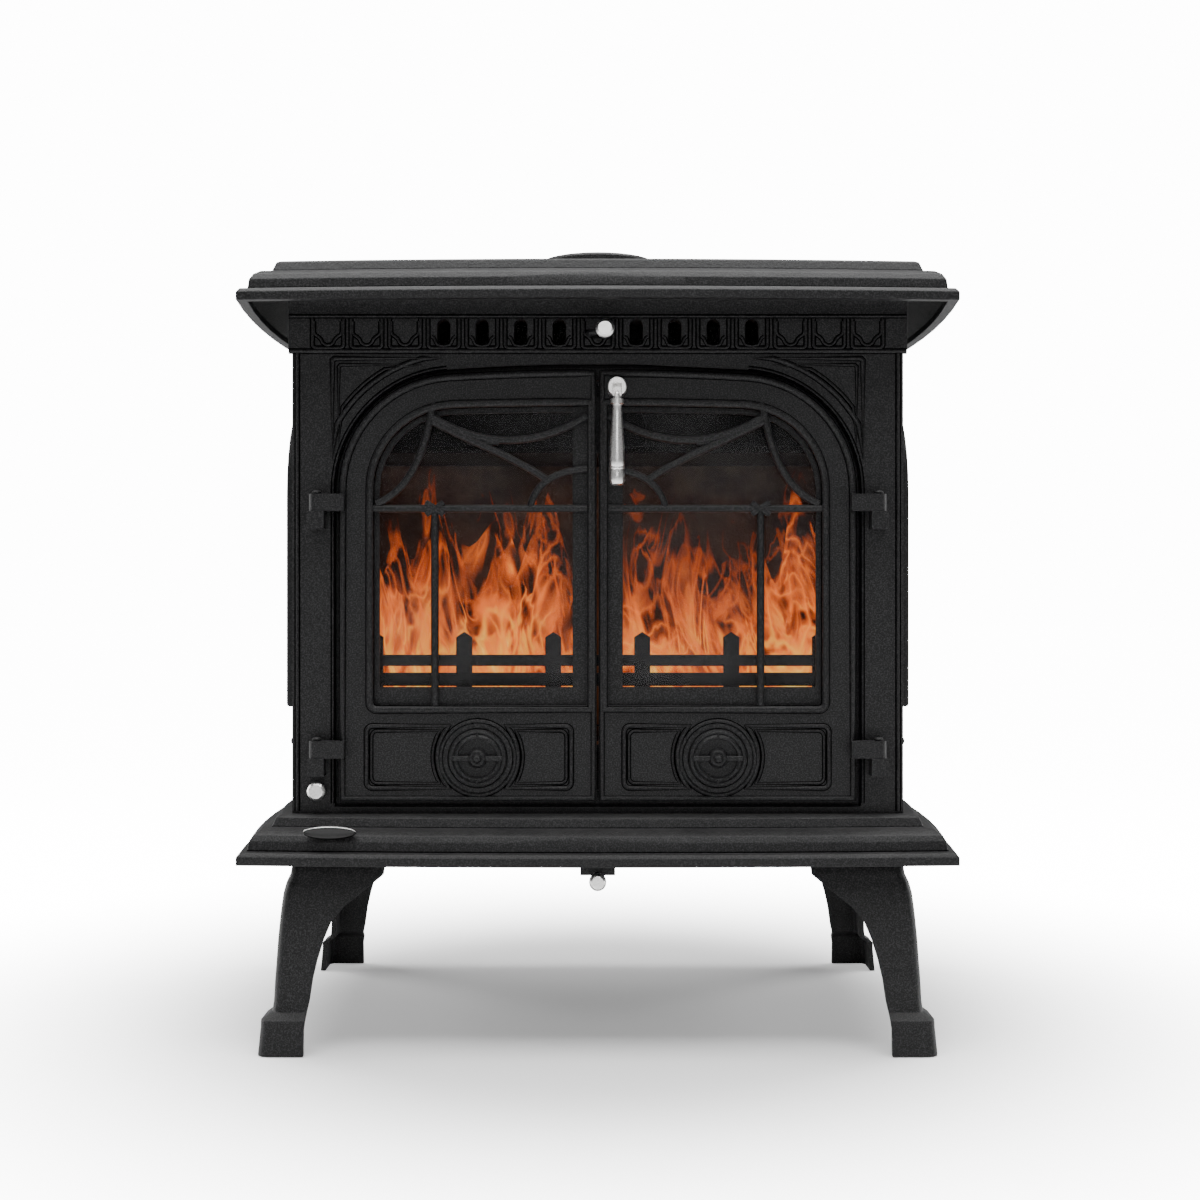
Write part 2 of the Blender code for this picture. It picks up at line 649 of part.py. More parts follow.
TRACERY_Y = -0.1622
BAR = 0.0036
TRANSOM_Z = 0.5328
MULLION_X = -0.1616
BARS = {
    "mullion": [(MULLION_X, TRANSOM_Z), (MULLION_X, 0.3395)],
    "branch": curve_points((-0.1665, 0.6225), (-0.1780, 0.5560), (-0.2170, 0.5370)),
    "swag": curve_points((-0.1640, 0.6225), (-0.0860, 0.5790), (-0.0122, 0.6235)),
    "brace": [(-0.1655, 0.6190), (-0.1268, 0.6009), (-0.0970, 0.5880), (-0.0494, 0.5611)],
    "quarter": curve_points((-0.0672, 0.5345), (-0.0600, 0.5690), (-0.0122, 0.5722)),
}


def tracery(side, name):
    transom = at(side, [(-0.2200, TRANSOM_Z), (-0.0122, TRANSOM_Z)], TRACERY_Y)
    piece = sweep(f"{name}_tracery", transom, BAR, sides=1)
    for bar, points in BARS.items():
        boolean(piece, sweep(f"{name}_{bar}", at(side, points, TRACERY_Y), BAR, sides=1), "UNION")
    knot = rod(f"{name}_knot", 0.0080, (side * -MULLION_X, TRACERY_Y + 0.0038, TRANSOM_Z), 0.0076,
               "front", steps=12)
    boolean(piece, knot, "UNION")


def door_fittings(side, name):
    glass = leaf_outline(side, GLASS["outer"], GLASS["inner"], GLASS["bottom"], GLASS["crown"])
    front = DOOR_BACK_Y + GAP
    back = front + GLASS_THICK
    plate(f"{name}_glass", [glass], front, back, "front", "glass")
    rope_y = DOOR_BACK_Y + GAP + ROPE_RADIUS
    rope = leaf_outline(side, 0.2520, 0.0060, 0.2462, 0.6664)
    sweep(f"{name}_door_rope", [(x, rope_y, z) for x, z in rope], ROPE_RADIUS, "rope", closed=True)
    for label, z in (("lower", 0.3380), ("upper", 0.6440)):
        low_x, high_x = sorted((side * 0.100, side * 0.140))
        clip = box(f"{name}_{label}_glass_clip", (low_x, DOOR_BACK_Y + GAP, z - 0.009),
                   (high_x, back + 0.003, z + 0.009), "steel")
        toward_glass = 0.0058 if label == "lower" else -0.0058
        notch_low = z + min(toward_glass - 0.004, toward_glass + 0.004) - 0.0005
        notch = box(f"{name}_{label}_notch", (low_x - 0.01, DOOR_BACK_Y - 0.001, notch_low - 0.002),
                    (high_x + 0.01, back + GAP, notch_low + 0.0105))
        boolean(clip, notch)


def air_wheel(side, name):
    """A spin valve on its spindle: rim, hub, grip bar and ball knob."""
    centre = (side * WHEEL_X, DOOR_BACK_Y - 0.0062, WHEEL_Z)
    profile = [(0.0040, 0.0115), (0.0085, 0.0110), (0.0095, 0.0048), (0.0190, 0.0045),
               (0.0200, 0.0085), (WHEEL_RADIUS - 0.002, 0.0080), (WHEEL_RADIUS, 0.0060),
               (WHEEL_RADIUS, GAP), (0.0040, GAP)]
    place = (centre[0], centre[1] - GAP, centre[2])
    wheel = turned(f"{name}_air_wheel", profile, place, "front", steps=18, ring=True)
    low = (centre[0] - 0.0245, centre[1] - 0.0095, WHEEL_Z - 0.0024)
    high = (centre[0] + 0.0245, centre[1] - 0.0030, WHEEL_Z + 0.0024)
    boolean(wheel, box(f"{name}_grip", low, high), "UNION")
    bore = rod(f"{name}_wheel_bore", 0.0042, (centre[0], -0.14, WHEEL_Z), 0.04, "front", steps=10)
    boolean(wheel, bore)
    ball = [(0, 0.0195)] + [(0.0047 * math.sin(a), 0.0148 + 0.0047 * math.cos(a))
                            for a in (math.pi * i / 6 for i in range(1, 5))]
    stem = ball + [(0.0032, 0.0108), (0.0032, -0.0125), (0, -0.0125)]
    turned(f"{name}_valve_spindle", stem, centre, "front", "steel", 16)


def latch():
    """Drop handle, ring boss with its spindle, and the tongue behind the door."""
    handle = [(0, -0.0040), (0.0022, -0.0062), (0.0036, -0.0118), (0.0066, -0.0124),
              (0.0066, -0.0172), (0.0050, -0.0182), (0.0046, -0.0200), (0.0075, -0.0630),
              (0.0076, -0.0900), (0.0058, -0.0965), (0, -0.0970)]
    turned("door_handle", handle, (LATCH_X, HANDLE_Y, LATCH_Z), "up", "chrome", 16)
    front = DOOR_FRONT_Y + 0.002 - GAP
    profile = [(0, 0.0255), (0.0085, 0.0255), (0.0094, 0.0245), (0.0094, 0), (SPINDLE_RADIUS, 0),
               (SPINDLE_RADIUS, -0.0275), (0, -0.0275)]
    ring = turned("latch_spindle", profile, (LATCH_X, front, LATCH_Z), "front", "chrome")
    slot = box("handle_slot", (LATCH_X - 0.0043, HANDLE_Y - 0.0100, LATCH_Z - 0.0150),
               (LATCH_X + 0.0043, HANDLE_Y + 0.0072, LATCH_Z + 0.0030))
    boolean(ring, slot)
    y_low = -0.1410
    tongue = box("latch_tongue", (0, y_low, -0.0050), (0.0250, y_low + 0.004, 0.0050), "steel")
    turn = Matrix.Rotation(math.radians(-10), 4, "Y")
    tongue.data.transform(Matrix.Translation((LATCH_X, 0, LATCH_Z)) @ turn)
    hub = rod("tongue_hub", 0.0085, (LATCH_X, y_low + 0.004, LATCH_Z), 0.004, "front", steps=16)
    boolean(tongue, hub, "UNION")
    boolean(tongue, rod("tongue_bore", SPINDLE_RADIUS + GAP, (LATCH_X, -0.13, LATCH_Z), 0.02, "front"))
    box("latch_keeper", (0.030, FRAME_BACK_Y + GAP, 0.6625), (0.050, -0.1414, 0.6790), "steel")


# ---------------------------------------------------------------- air slides and riddling gear

def knob(name, centre, radius, length, finish="chrome"):
    """A turned knob whose face looks forward, with its back at centre."""
    profile = [(0, length), (radius * 0.75, length), (radius, length * 0.78), (radius, length * 0.30),
               (radius * 0.60, 0), (0, 0)]
    return turned(name, profile, centre, "front", finish, 20)


def top_air_slide():
    low_y = FRAME_BACK_Y + GAP
    outline = round_box(-0.180, 0.689, 0.180, 0.7275)
    slots = [slot_outline(side * i * SLOT_PITCH, SLOT_LOW_Z - 0.0005, SLOT_HIGH_Z + 0.0005,
                          SLOT_WIDTH + 0.0008) for side in (-1, 1) for i in range(1, 5)]
    slide = plate("top_air_slide", [outline] + slots, low_y, low_y + SLIDE_THICK, "front")
    knob_x, knob_y, knob_z = TOP_KNOB
    shank = [(-0.0094, low_y + 0.001, 0.7065), (-0.0094, FACE_Y, 0.7065), (-0.0060, -0.166, 0.7068),
             (knob_x, knob_y + 0.006, knob_z), (knob_x, knob_y, knob_z)]
    boolean(slide, sweep("slide_shank", shank, 0.0034, "steel"), "UNION")
    knob("top_slide_knob", (knob_x, knob_y - GAP, knob_z), 0.0093, 0.012)


def bottom_air_slide():
    high = UNDER_BASE_Z - GAP
    outline = round_box(-0.040, -0.100, 0.040, 0.020)
    window = round_box(-0.030, -0.030, 0.030, -0.005)
    slide = plate("bottom_air_slide", [outline, window], high - SLIDE_THICK, high, "top")
    tab = box("slide_tab", (-0.010, -0.1040, UNDER_ROD_Z - 0.006), (0.010, -0.0990, high - 0.0005))
    boolean(slide, tab, "UNION")
    bar = rod("slide_bar", 0.0035, (0, UNDER_TAIL_Y, UNDER_ROD_Z), UNDER_TAIL_Y - UNDER_KNOB_Y, "front")
    boolean(slide, bar, "UNION")
    knob("bottom_slide_knob", (0, UNDER_KNOB_Y - GAP, UNDER_ROD_Z), 0.0083, 0.0178)
    bracket = box("slide_bracket", (-0.0172, -0.1780, 0.1712), (0.0172, -0.1500, UNDER_BASE_Z - GAP))
    boolean(bracket, box("guide", (-0.0065, -0.1770, 0.1640), (0.0065, -0.1510, 0.1800)), "UNION")
    boolean(bracket, rod("bracket_bore", 0.0042, (0, -0.14, UNDER_ROD_Z), 0.06, "front"))


def riddling_gear():
    """The pull rod goes through the frame and carries the sliding grate."""
    bore = rod("riddle_bore", 0.0055, (RIDDLE_X, -0.13, RIDDLE_Z), 0.05, "front")
    boolean(bpy.data.objects["front_frame"], bore)
    bar = rod("riddling_rod", 0.0045, (RIDDLE_X, RIDDLE_TAIL_Y, RIDDLE_Z),
              RIDDLE_TAIL_Y - RIDDLE_KNOB_Y, "front")
    front, back = RIDDLE_TAIL_Y - RIDDLE_ARM, RIDDLE_TAIL_Y + RIDDLE_ARM
    lift_low_x, lift_high_x = RIDDLE_LIFT_X
    grate_low_z, grate_high_z = RIDDLE_GRATE_Z
    arm = box("riddling_arm", (RIDDLE_X - RIDDLE_ARM, front, RIDDLE_Z - RIDDLE_ARM),
              (lift_high_x, back, RIDDLE_Z + RIDDLE_ARM))
    boolean(bar, arm, "UNION")
    lift = box("riddling_lift", (lift_low_x, front, RIDDLE_Z - RIDDLE_ARM),
               (lift_high_x, back, grate_low_z))
    boolean(bar, lift, "UNION")
    knob("riddling_knob", (RIDDLE_X, RIDDLE_KNOB_Y - GAP, RIDDLE_Z), 0.0090, 0.011)
    grate_slots = [round_box(-0.190 + i * 0.0345, -0.080, -0.172 + i * 0.0345, 0.085) for i in range(11)]
    plate("riddling_grate", [round_box(-0.215, -0.100, 0.215, 0.105)] + grate_slots,
          grate_low_z + GAP, grate_high_z, "top")


# ---------------------------------------------------------------- fire chamber

def fire_chamber():
    outer = round_box(-0.2565, -0.118, 0.2565, 0.132)
    inner = round_box(-0.185, -0.075, 0.185, 0.080)
    plate("grate_frame", [outer, inner], *GRATE_FRAME_Z, "top")
    brick_foot = GRATE_FRAME_Z[1] + 0.001
    box("rear_firebrick", (-0.2560, 0.1370, brick_foot), (0.2560, BRICK_BACK_Y, BRICK_TOP_Z), "brick")
    for side, name in SIDES:
        low_x, high_x = sorted((side * 0.2590, side * 0.2840))
        box(f"{name}_firebrick", (low_x, -0.1000, BODY_BOTTOM_Z + 0.040), (high_x, BRICK_BACK_Y, BRICK_TOP_Z),
            "brick")
    box("baffle_plate", (-0.2850, BAFFLE_FRONT_Y, BRICK_TOP_Z + GAP),
        (0.2850, BRICK_BACK_Y, BRICK_TOP_Z + BAFFLE_THICK))
    log_guard()
    ash_pan()


def ash_pan():
    """An open tray with a bent wire handle on its front."""
    front, back = PAN_Y
    pan = box("ash_pan", (-PAN_X, front, BODY_BOTTOM_Z), (PAN_X, back, PAN_TOP_Z), "steel")
    hollow = box("pan_hollow", (PAN_WALL - PAN_X, front + PAN_WALL, BODY_BOTTOM_Z + PAN_WALL),
                 (PAN_X - PAN_WALL, back - PAN_WALL, PAN_TOP_Z + 0.032))
    boolean(pan, hollow)
    handle = [(-PAN_HANDLE_X, front + 0.001, PAN_HANDLE_Z), (-PAN_HANDLE_X, front - 0.009, PAN_HANDLE_Z),
              (PAN_HANDLE_X, front - 0.009, PAN_HANDLE_Z), (PAN_HANDLE_X, front + 0.001, PAN_HANDLE_Z)]
    boolean(pan, sweep("pan_handle", handle, 0.0028, "steel"), "UNION")


def log_guard():
    """Two rails and six pointed pickets that keep the logs off the glass."""
    guard = None
    for number, (low, high) in enumerate(GUARD_RAILS):
        outline = round_box(-GUARD_HALF, low, GUARD_HALF, high)
        bar = plate(f"guard_rail_{number}", [outline], GUARD_FRONT_Y, GUARD_BACK_Y, "front")
        if guard is None:
            guard = bar
            guard.name = "log_guard"
        else:
            boolean(guard, bar, "UNION")
    for i in range(6):
        x = (i - 2.5) * GUARD_PITCH
        outline = [(x - PICKET_HALF, PICKET_FOOT_Z), (x + PICKET_HALF, PICKET_FOOT_Z),
                   (x + PICKET_HALF, PICKET_NECK_Z), (x, PICKET_TIP_Z), (x - PICKET_HALF, PICKET_NECK_Z)]
        picket = plate(f"picket_{i}", [outline], GUARD_FRONT_Y + 0.001, GUARD_BACK_Y - 0.001, "front")
        boolean(guard, picket, "UNION")


def badge():
    """A blank oval plate on the front left of the base moulding, tilted to lie on it."""
    half_length, half_width = BADGE_SIZE
    outline = [(half_length * math.cos(a), half_width * math.sin(a)) for a in
               (math.pi * i / 10 for i in range(20))]
    piece = plate("badge_plate", [outline], -0.001, 0.001, "front", "badge")
    place = Matrix.Translation(BADGE_PLACE) @ Matrix.Rotation(math.radians(BADGE_TILT), 4, "X")
    piece.data.transform(place)


def build():
    top_plate()
    base_plate()
    front_frame()
    panels()
    legs()
    for side, name in SIDES:
        door(side, name)
        tracery(side, name)
        door_fittings(side, name)
        air_wheel(side, name)
    hole = rod("latch_bore", SPINDLE_RADIUS + 0.0008, (LATCH_X, -0.14, LATCH_Z), 0.04, "front", steps=12)
    boolean(bpy.data.objects["right_door"], hole, solver="MANIFOLD")
    latch()
    hinge_pins()
    top_air_slide()
    bottom_air_slide()
    riddling_gear()
    fire_chamber()
    badge()


build()
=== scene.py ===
# %% [markdown]
# # A cast-iron wood burning stove
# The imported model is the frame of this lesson: every solid is already at its real place and size.
# What is missing is the finish of a foundry casting: rounded arrises, raised beads and panels,
# paint over sand-cast grain, bright knobs, and a fire behind the glass. Each cell below adds one
# of them.

# %% Load the frame
import json
import math

import bmesh
import bpy
from mathutils import Matrix, Vector

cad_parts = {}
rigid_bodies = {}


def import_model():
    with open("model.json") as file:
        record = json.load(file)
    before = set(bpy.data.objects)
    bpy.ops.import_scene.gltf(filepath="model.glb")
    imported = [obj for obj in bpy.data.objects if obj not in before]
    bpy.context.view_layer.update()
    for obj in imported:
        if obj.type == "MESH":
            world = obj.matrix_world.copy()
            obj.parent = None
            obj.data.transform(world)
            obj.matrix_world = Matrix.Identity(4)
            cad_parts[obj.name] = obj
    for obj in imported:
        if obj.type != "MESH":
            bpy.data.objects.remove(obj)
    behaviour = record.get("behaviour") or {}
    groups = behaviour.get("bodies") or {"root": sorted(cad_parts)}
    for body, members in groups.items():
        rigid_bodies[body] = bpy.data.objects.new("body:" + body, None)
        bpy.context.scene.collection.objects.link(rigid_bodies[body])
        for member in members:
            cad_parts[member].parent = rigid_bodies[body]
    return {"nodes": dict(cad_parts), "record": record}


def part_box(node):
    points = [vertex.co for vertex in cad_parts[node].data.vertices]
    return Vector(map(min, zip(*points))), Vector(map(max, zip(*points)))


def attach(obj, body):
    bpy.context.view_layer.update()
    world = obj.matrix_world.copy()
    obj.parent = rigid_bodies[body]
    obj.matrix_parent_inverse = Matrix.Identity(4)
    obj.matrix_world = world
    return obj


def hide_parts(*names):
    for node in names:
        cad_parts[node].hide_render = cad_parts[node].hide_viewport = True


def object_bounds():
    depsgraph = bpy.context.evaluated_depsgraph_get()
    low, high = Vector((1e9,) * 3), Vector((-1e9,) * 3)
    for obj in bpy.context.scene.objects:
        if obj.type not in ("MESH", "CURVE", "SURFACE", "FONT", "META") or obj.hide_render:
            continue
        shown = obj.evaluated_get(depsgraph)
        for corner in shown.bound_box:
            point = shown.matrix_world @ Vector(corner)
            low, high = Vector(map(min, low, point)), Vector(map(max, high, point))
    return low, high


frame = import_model()
CAD_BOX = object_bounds()
print("frame box", [tuple(round(v, 4) for v in corner) for corner in CAD_BOX])

# %% [markdown]
# ## Camera, floor and light
# A catalogue shot of a stove is taken from straight in front, level with the middle of the doors,
# with a lens that keeps the legs upright. The floor is a wide pale disc, and the world behind it is
# white to the camera. The light is a large soft box overhead, one on each side and behind, and a
# small one in front, because black paint shows only what it reflects.

# %% Camera
CAMERA_HEIGHT = 0.440
CAMERA_DISTANCE = 1.61          # from the front corners of the plates
FRONT_CORNER_Y = CAD_BOX[0][1] + 0.013


def select_only(*pieces):
    """Deselects everything but these pieces, and makes the first one active."""
    for other in bpy.context.view_layer.objects:
        other.select_set(False)
    for piece in pieces:
        piece.select_set(True)
    bpy.context.view_layer.objects.active = pieces[0]


def add_camera():
    data = bpy.data.cameras.new("camera")
    data.lens = 50
    data.sensor_width = 36
    data.shift_x = 0.0019
    data.shift_y = 0.0017
    camera = bpy.data.objects.new("camera", data)
    camera.location = (0, FRONT_CORNER_Y - CAMERA_DISTANCE, CAMERA_HEIGHT)
    camera.rotation_euler = (math.pi / 2, 0, 0)
    bpy.context.scene.collection.objects.link(camera)
    bpy.context.scene.camera = camera
    print("camera at", [round(v, 3) for v in camera.location])


add_camera()

# %% Floor and soft boxes
BACKDROP = 14.0         # how white the background looks, for camera rays only
ROOM_FILL = 0.22        # and how little of it falls on the stove


def add_floor():
    """White paper: its camera-only glow is kept low near the stove, a painted shade over the real
    shadow there, and burnt out to pure white away from it.
    """
    bpy.ops.mesh.primitive_circle_add(vertices=96, radius=30, fill_type="NGON",
                                      location=(0, 0, -0.0005))
    floor = bpy.context.object
    floor.name = "studio_floor"
    mat = bpy.data.materials.new("studio_paper")
    mat.use_nodes = True
    tree = mat.node_tree
    shader = tree.nodes["Principled BSDF"]
    shader.inputs["Base Color"].default_value = (0.93, 0.93, 0.93, 1)
    shader.inputs["Roughness"].default_value = 0.9
    shader.inputs["Specular IOR Level"].default_value = 0.1
    shader.inputs["Emission Color"].default_value = (1, 1, 1, 1)
    place = tree.nodes.new("ShaderNodeTexCoord").outputs["Object"]
    reach = tree.nodes.new("ShaderNodeVectorMath")
    reach.operation = "LENGTH"
    tree.links.new(place, reach.inputs[0])
    # The glow rises with distance from the stove: low nearby, which paints shade round the stove on top
    # of its real shadow, and white far off.
    shade_to_white = tree.nodes.new("ShaderNodeMapRange")
    shade_to_white.interpolation_type = "SMOOTHSTEP"
    for label, value in (("From Min", 0.30), ("From Max", 1.05), ("To Min", 0.12),
                         ("To Max", BACKDROP)):
        shade_to_white.inputs[label].default_value = value
    tree.links.new(reach.outputs["Value"], shade_to_white.inputs["Value"])
    seen = tree.nodes.new("ShaderNodeMath")
    seen.operation = "MULTIPLY"
    tree.links.new(shade_to_white.outputs["Result"], seen.inputs[0])
    tree.links.new(tree.nodes.new("ShaderNodeLightPath").outputs["Is Camera Ray"], seen.inputs[1])
    tree.links.new(seen.outputs[0], shader.inputs["Emission Strength"])
    floor.data.materials.append(mat)


def add_light(name, place, aim, size, power):
    data = bpy.data.lights.new(name, "AREA")
    data.shape = "RECTANGLE"
    data.size, data.size_y = size
    data.energy = power
    light = bpy.data.objects.new(name, data)
    light.location = place
    light.rotation_euler = (Vector(aim) - Vector(place)).to_track_quat("-Z", "Y").to_euler()
    bpy.context.scene.collection.objects.link(light)


def add_world():
    """A white backdrop for the eye, and a much weaker fill for the paint."""
    world = bpy.data.worlds.new("studio")
    world.use_nodes = True
    tree = world.node_tree
    path = tree.nodes.new("ShaderNodeLightPath")
    level = tree.nodes.new("ShaderNodeMapRange")
    level.inputs["To Min"].default_value = ROOM_FILL
    level.inputs["To Max"].default_value = BACKDROP
    tree.links.new(path.outputs["Is Camera Ray"], level.inputs["Value"])
    tree.links.new(level.outputs["Result"], tree.nodes["Background"].inputs["Strength"])
    tree.nodes["Background"].inputs["Color"].default_value = (1, 1, 1, 1)
    bpy.context.scene.world = world


add_floor()
add_world()
add_light("overhead_box", (0, -0.35, 2.7), (0, 0, 0.3), (3.2, 2.2), 170)
add_light("left_box", (-2.1, 0.75, 0.8), (0, 0, 0.55), (1.4, 1.8), 46)
add_light("right_box", (2.1, 0.75, 0.8), (0, 0, 0.55), (1.4, 1.8), 46)
add_light("front_box", (0, -3.2, 1.4), (0, 0, 0.45), (1.2, 0.5), 10)

# %% [markdown]
# ## Finishes
# Stove paint is a matt black silicone paint. The iron under it was poured in sand, so the surface
# has a fine pebbled grain that the paint doesn't hide, and dust settles on what faces up; the same
# up-facing mask also lifts the tops as painted light from the overhead box. Both effects are used
# on several finishes, so each is a node group: build it once, and drop it into every material.

# %% Node helpers and the cast grain group
def new_group(name, inputs, outputs):
    group = bpy.data.node_groups.new(name, "ShaderNodeTree")
    for label, value in inputs.items():
        socket = group.interface.new_socket(label, in_out="INPUT", socket_type="NodeSocketFloat")
        socket.default_value = value
    for label, kind in outputs.items():
        group.interface.new_socket(label, in_out="OUTPUT", socket_type=kind)
    return group, group.nodes.new("NodeGroupInput"), group.nodes.new("NodeGroupOutput")


def noise(tree, vector, scale, detail=3.0, roughness=0.55):
    node = tree.nodes.new("ShaderNodeTexNoise")
    node.inputs["Scale"].default_value = scale
    node.inputs["Detail"].default_value = detail
    node.inputs["Roughness"].default_value = roughness
    tree.links.new(vector, node.inputs["Vector"])
    return node


def math_node(tree, operation, first, second):
    node = tree.nodes.new("ShaderNodeMath")
    node.operation = operation
    for socket, value in zip(node.inputs, (first, second)):
        if isinstance(value, (int, float)):
            socket.default_value = value
        else:
            tree.links.new(value, socket)
    return node.outputs[0]


def ramp(tree, fac, stops):
    node = tree.nodes.new("ShaderNodeValToRGB")
    tree.links.new(fac, node.inputs[0])
    while len(node.color_ramp.elements) < len(stops):
        node.color_ramp.elements.new(0.5)
    for element, (place, value) in zip(node.color_ramp.elements, stops):
        element.position = place
        element.color = (*value, 1) if isinstance(value, tuple) else (value, value, value, 1)
    return node.outputs[0]


def cast_grain_group():
    """Height: pebbled sand-cast surface. Speckle: tiny light and dark flecks in the paint."""
    group, given, out = new_group("cast_grain", {"Scale": 1.0, "Depth": 1.0},
                                  {"Height": "NodeSocketFloat", "Speckle": "NodeSocketFloat"})
    place = group.nodes.new("ShaderNodeTexCoord").outputs["Object"]
    grow = group.nodes.new("ShaderNodeVectorMath")
    grow.operation = "SCALE"
    group.links.new(place, grow.inputs[0])
    group.links.new(given.outputs["Scale"], grow.inputs["Scale"])
    pebbles = noise(group, grow.outputs[0], 480, 2.0).outputs["Fac"]
    swells = noise(group, grow.outputs[0], 95, 3.0).outputs["Fac"]
    height = math_node(group, "ADD", math_node(group, "MULTIPLY", pebbles, 0.7),
                       math_node(group, "MULTIPLY", swells, 0.6))
    group.links.new(math_node(group, "MULTIPLY", height, given.outputs["Depth"]), out.inputs["Height"])
    flecks = noise(group, grow.outputs[0], 780, 1.0).outputs["Fac"]
    group.links.new(ramp(group, flecks, [(0.46, 0.0), (0.66, 1.0)]), out.inputs["Speckle"])
    return group


def dust_and_top_light_group():
    """Mask: faces that point up, broken by soft patches; it stands for settled dust and, in part, for
    painted top light.
    """
    group, given, out = new_group("dust_and_painted_top_light", {"Amount": 1.0}, {"Mask": "NodeSocketFloat"})
    place = group.nodes.new("ShaderNodeTexCoord").outputs["Object"]
    split = group.nodes.new("ShaderNodeSeparateXYZ")
    group.links.new(group.nodes.new("ShaderNodeNewGeometry").outputs["Normal"], split.inputs[0])
    # Faces that point up: the mask lifts them, partly as dust and partly as painted top light.
    facing = ramp(group, split.outputs["Z"], [(0.35, 0.0), (0.95, 1.0)])
    patches = ramp(group, noise(group, place, 26, 4.0).outputs["Fac"], [(0.35, 0.35), (0.70, 1.0)])
    mask = math_node(group, "MULTIPLY", math_node(group, "MULTIPLY", facing, patches),
                     given.outputs["Amount"])
    group.links.new(mask, out.inputs["Mask"])
    return group


CAST_GRAIN = cast_grain_group()
DUST_AND_TOP_LIGHT = dust_and_top_light_group()
print("groups", [g.name for g in bpy.data.node_groups])

# %% [markdown]
# Each finish is a Principled shader with its own values. Black iron is not black everywhere: the
# flecks lift it a little, the up-facing mask lifts the tops as dust and partly as painted top
# light, and the grain bumps the highlight. Chrome gets fine turning marks, steel a duller grain,
# and the firebricks a cloudy coat of soot.

# %% Iron, chrome and steel
def material(name):
    mat = bpy.data.materials.new(name)
    mat.use_nodes = True
    return mat, mat.node_tree, mat.node_tree.nodes["Principled BSDF"]


def place_group(tree, group, **values):
    node = tree.nodes.new("ShaderNodeGroup")
    node.node_tree = group
    for label, value in values.items():
        node.inputs[label].default_value = value
    return node


def mix_colour(tree, fac, first, second):
    node = tree.nodes.new("ShaderNodeMix")
    node.data_type = "RGBA"
    tree.links.new(fac, node.inputs["Factor"])
    for socket, value in ((node.inputs[6], first), (node.inputs[7], second)):
        if isinstance(value, tuple):
            socket.default_value = (*value, 1)
        else:
            tree.links.new(value, socket)
    return node.outputs[2]


def bump(tree, height, strength, distance):
    node = tree.nodes.new("ShaderNodeBump")
    node.inputs["Strength"].default_value = strength
    node.inputs["Distance"].default_value = distance
    tree.links.new(height, node.inputs["Height"])
    return node.outputs["Normal"]


def iron_paint(name, base, fleck, dust_and_light_amount, roughness, depth):
    """Matt black stove paint over cast iron."""
    mat, tree, shader = material(name)
    grain = place_group(tree, CAST_GRAIN, Depth=depth)
    dust_and_top_light = place_group(tree, DUST_AND_TOP_LIGHT, Amount=dust_and_light_amount)
    colour = mix_colour(tree, grain.outputs["Speckle"], base, fleck)
    # Up-facing faces drift to pale grey: settled dust, and partly a painted highlight for the overhead
    # light.
    colour = mix_colour(tree, dust_and_top_light.outputs["Mask"], colour, (0.105, 0.103, 0.100))
    tree.links.new(colour, shader.inputs["Base Color"])
    sheen = ramp(tree, grain.outputs["Speckle"], [(0.0, roughness), (1.0, roughness + 0.12)])
    tree.links.new(sheen, shader.inputs["Roughness"])
    tree.links.new(bump(tree, grain.outputs["Height"], 0.55, 0.0011), shader.inputs["Normal"])
    shader.inputs["Metallic"].default_value = 0.0
    shader.inputs["Specular IOR Level"].default_value = 0.26
    return mat


def metal(name, colour, roughness, marks):
    """Turned or drawn metal with fine marks along its length."""
    mat, tree, shader = material(name)
    place = tree.nodes.new("ShaderNodeTexCoord").outputs["Object"]
    stretch = tree.nodes.new("ShaderNodeMapping")
    stretch.inputs["Scale"].default_value = (1.0, 1.0, 9.0)
    tree.links.new(place, stretch.inputs["Vector"])
    lines = noise(tree, stretch.outputs[0], 420, 2.0).outputs["Fac"]
    smudge = noise(tree, place, 60, 3.0).outputs["Fac"]
    shade = ramp(tree, smudge, [(0.3, tuple(0.86 * c for c in colour)), (0.7, colour)])
    tree.links.new(shade, shader.inputs["Base Color"])
    tree.links.new(ramp(tree, lines, [(0.3, roughness), (0.75, roughness * 1.7)]),
                   shader.inputs["Roughness"])
    tree.links.new(bump(tree, lines, marks, 0.0003), shader.inputs["Normal"])
    shader.inputs["Metallic"].default_value = 1.0
    return mat


IRON = iron_paint("black_stove_paint", (0.0040, 0.0041, 0.0044), (0.026, 0.026, 0.027),
                  dust_and_light_amount=0.15, roughness=0.48, depth=1.0)
IRON_INSIDE = iron_paint("sooty_iron", (0.0080, 0.0080, 0.0082), (0.010, 0.010, 0.010),
                         dust_and_light_amount=0.3, roughness=0.90, depth=0.4)
# Near-black, without specular: painted shade, for the grooves beside the beads and the hollows of the
# plate mouldings.
GROOVE_SHADE = iron_paint("painted_groove_shade", (0.0010, 0.0010, 0.0011), (0.0016, 0.0016, 0.0016),
                    dust_and_light_amount=0.0, roughness=0.95, depth=0.5)
GROOVE_SHADE.node_tree.nodes["Principled BSDF"].inputs["Specular IOR Level"].default_value = 0.0
CHROME = metal("satin_chrome", (0.96, 0.95, 0.93), roughness=0.24, marks=0.08)
STEEL = metal("turned_steel", (0.36, 0.36, 0.35), roughness=0.34, marks=0.25)
print("metals ready", [m.name for m in (IRON, IRON_INSIDE, CHROME, STEEL)])

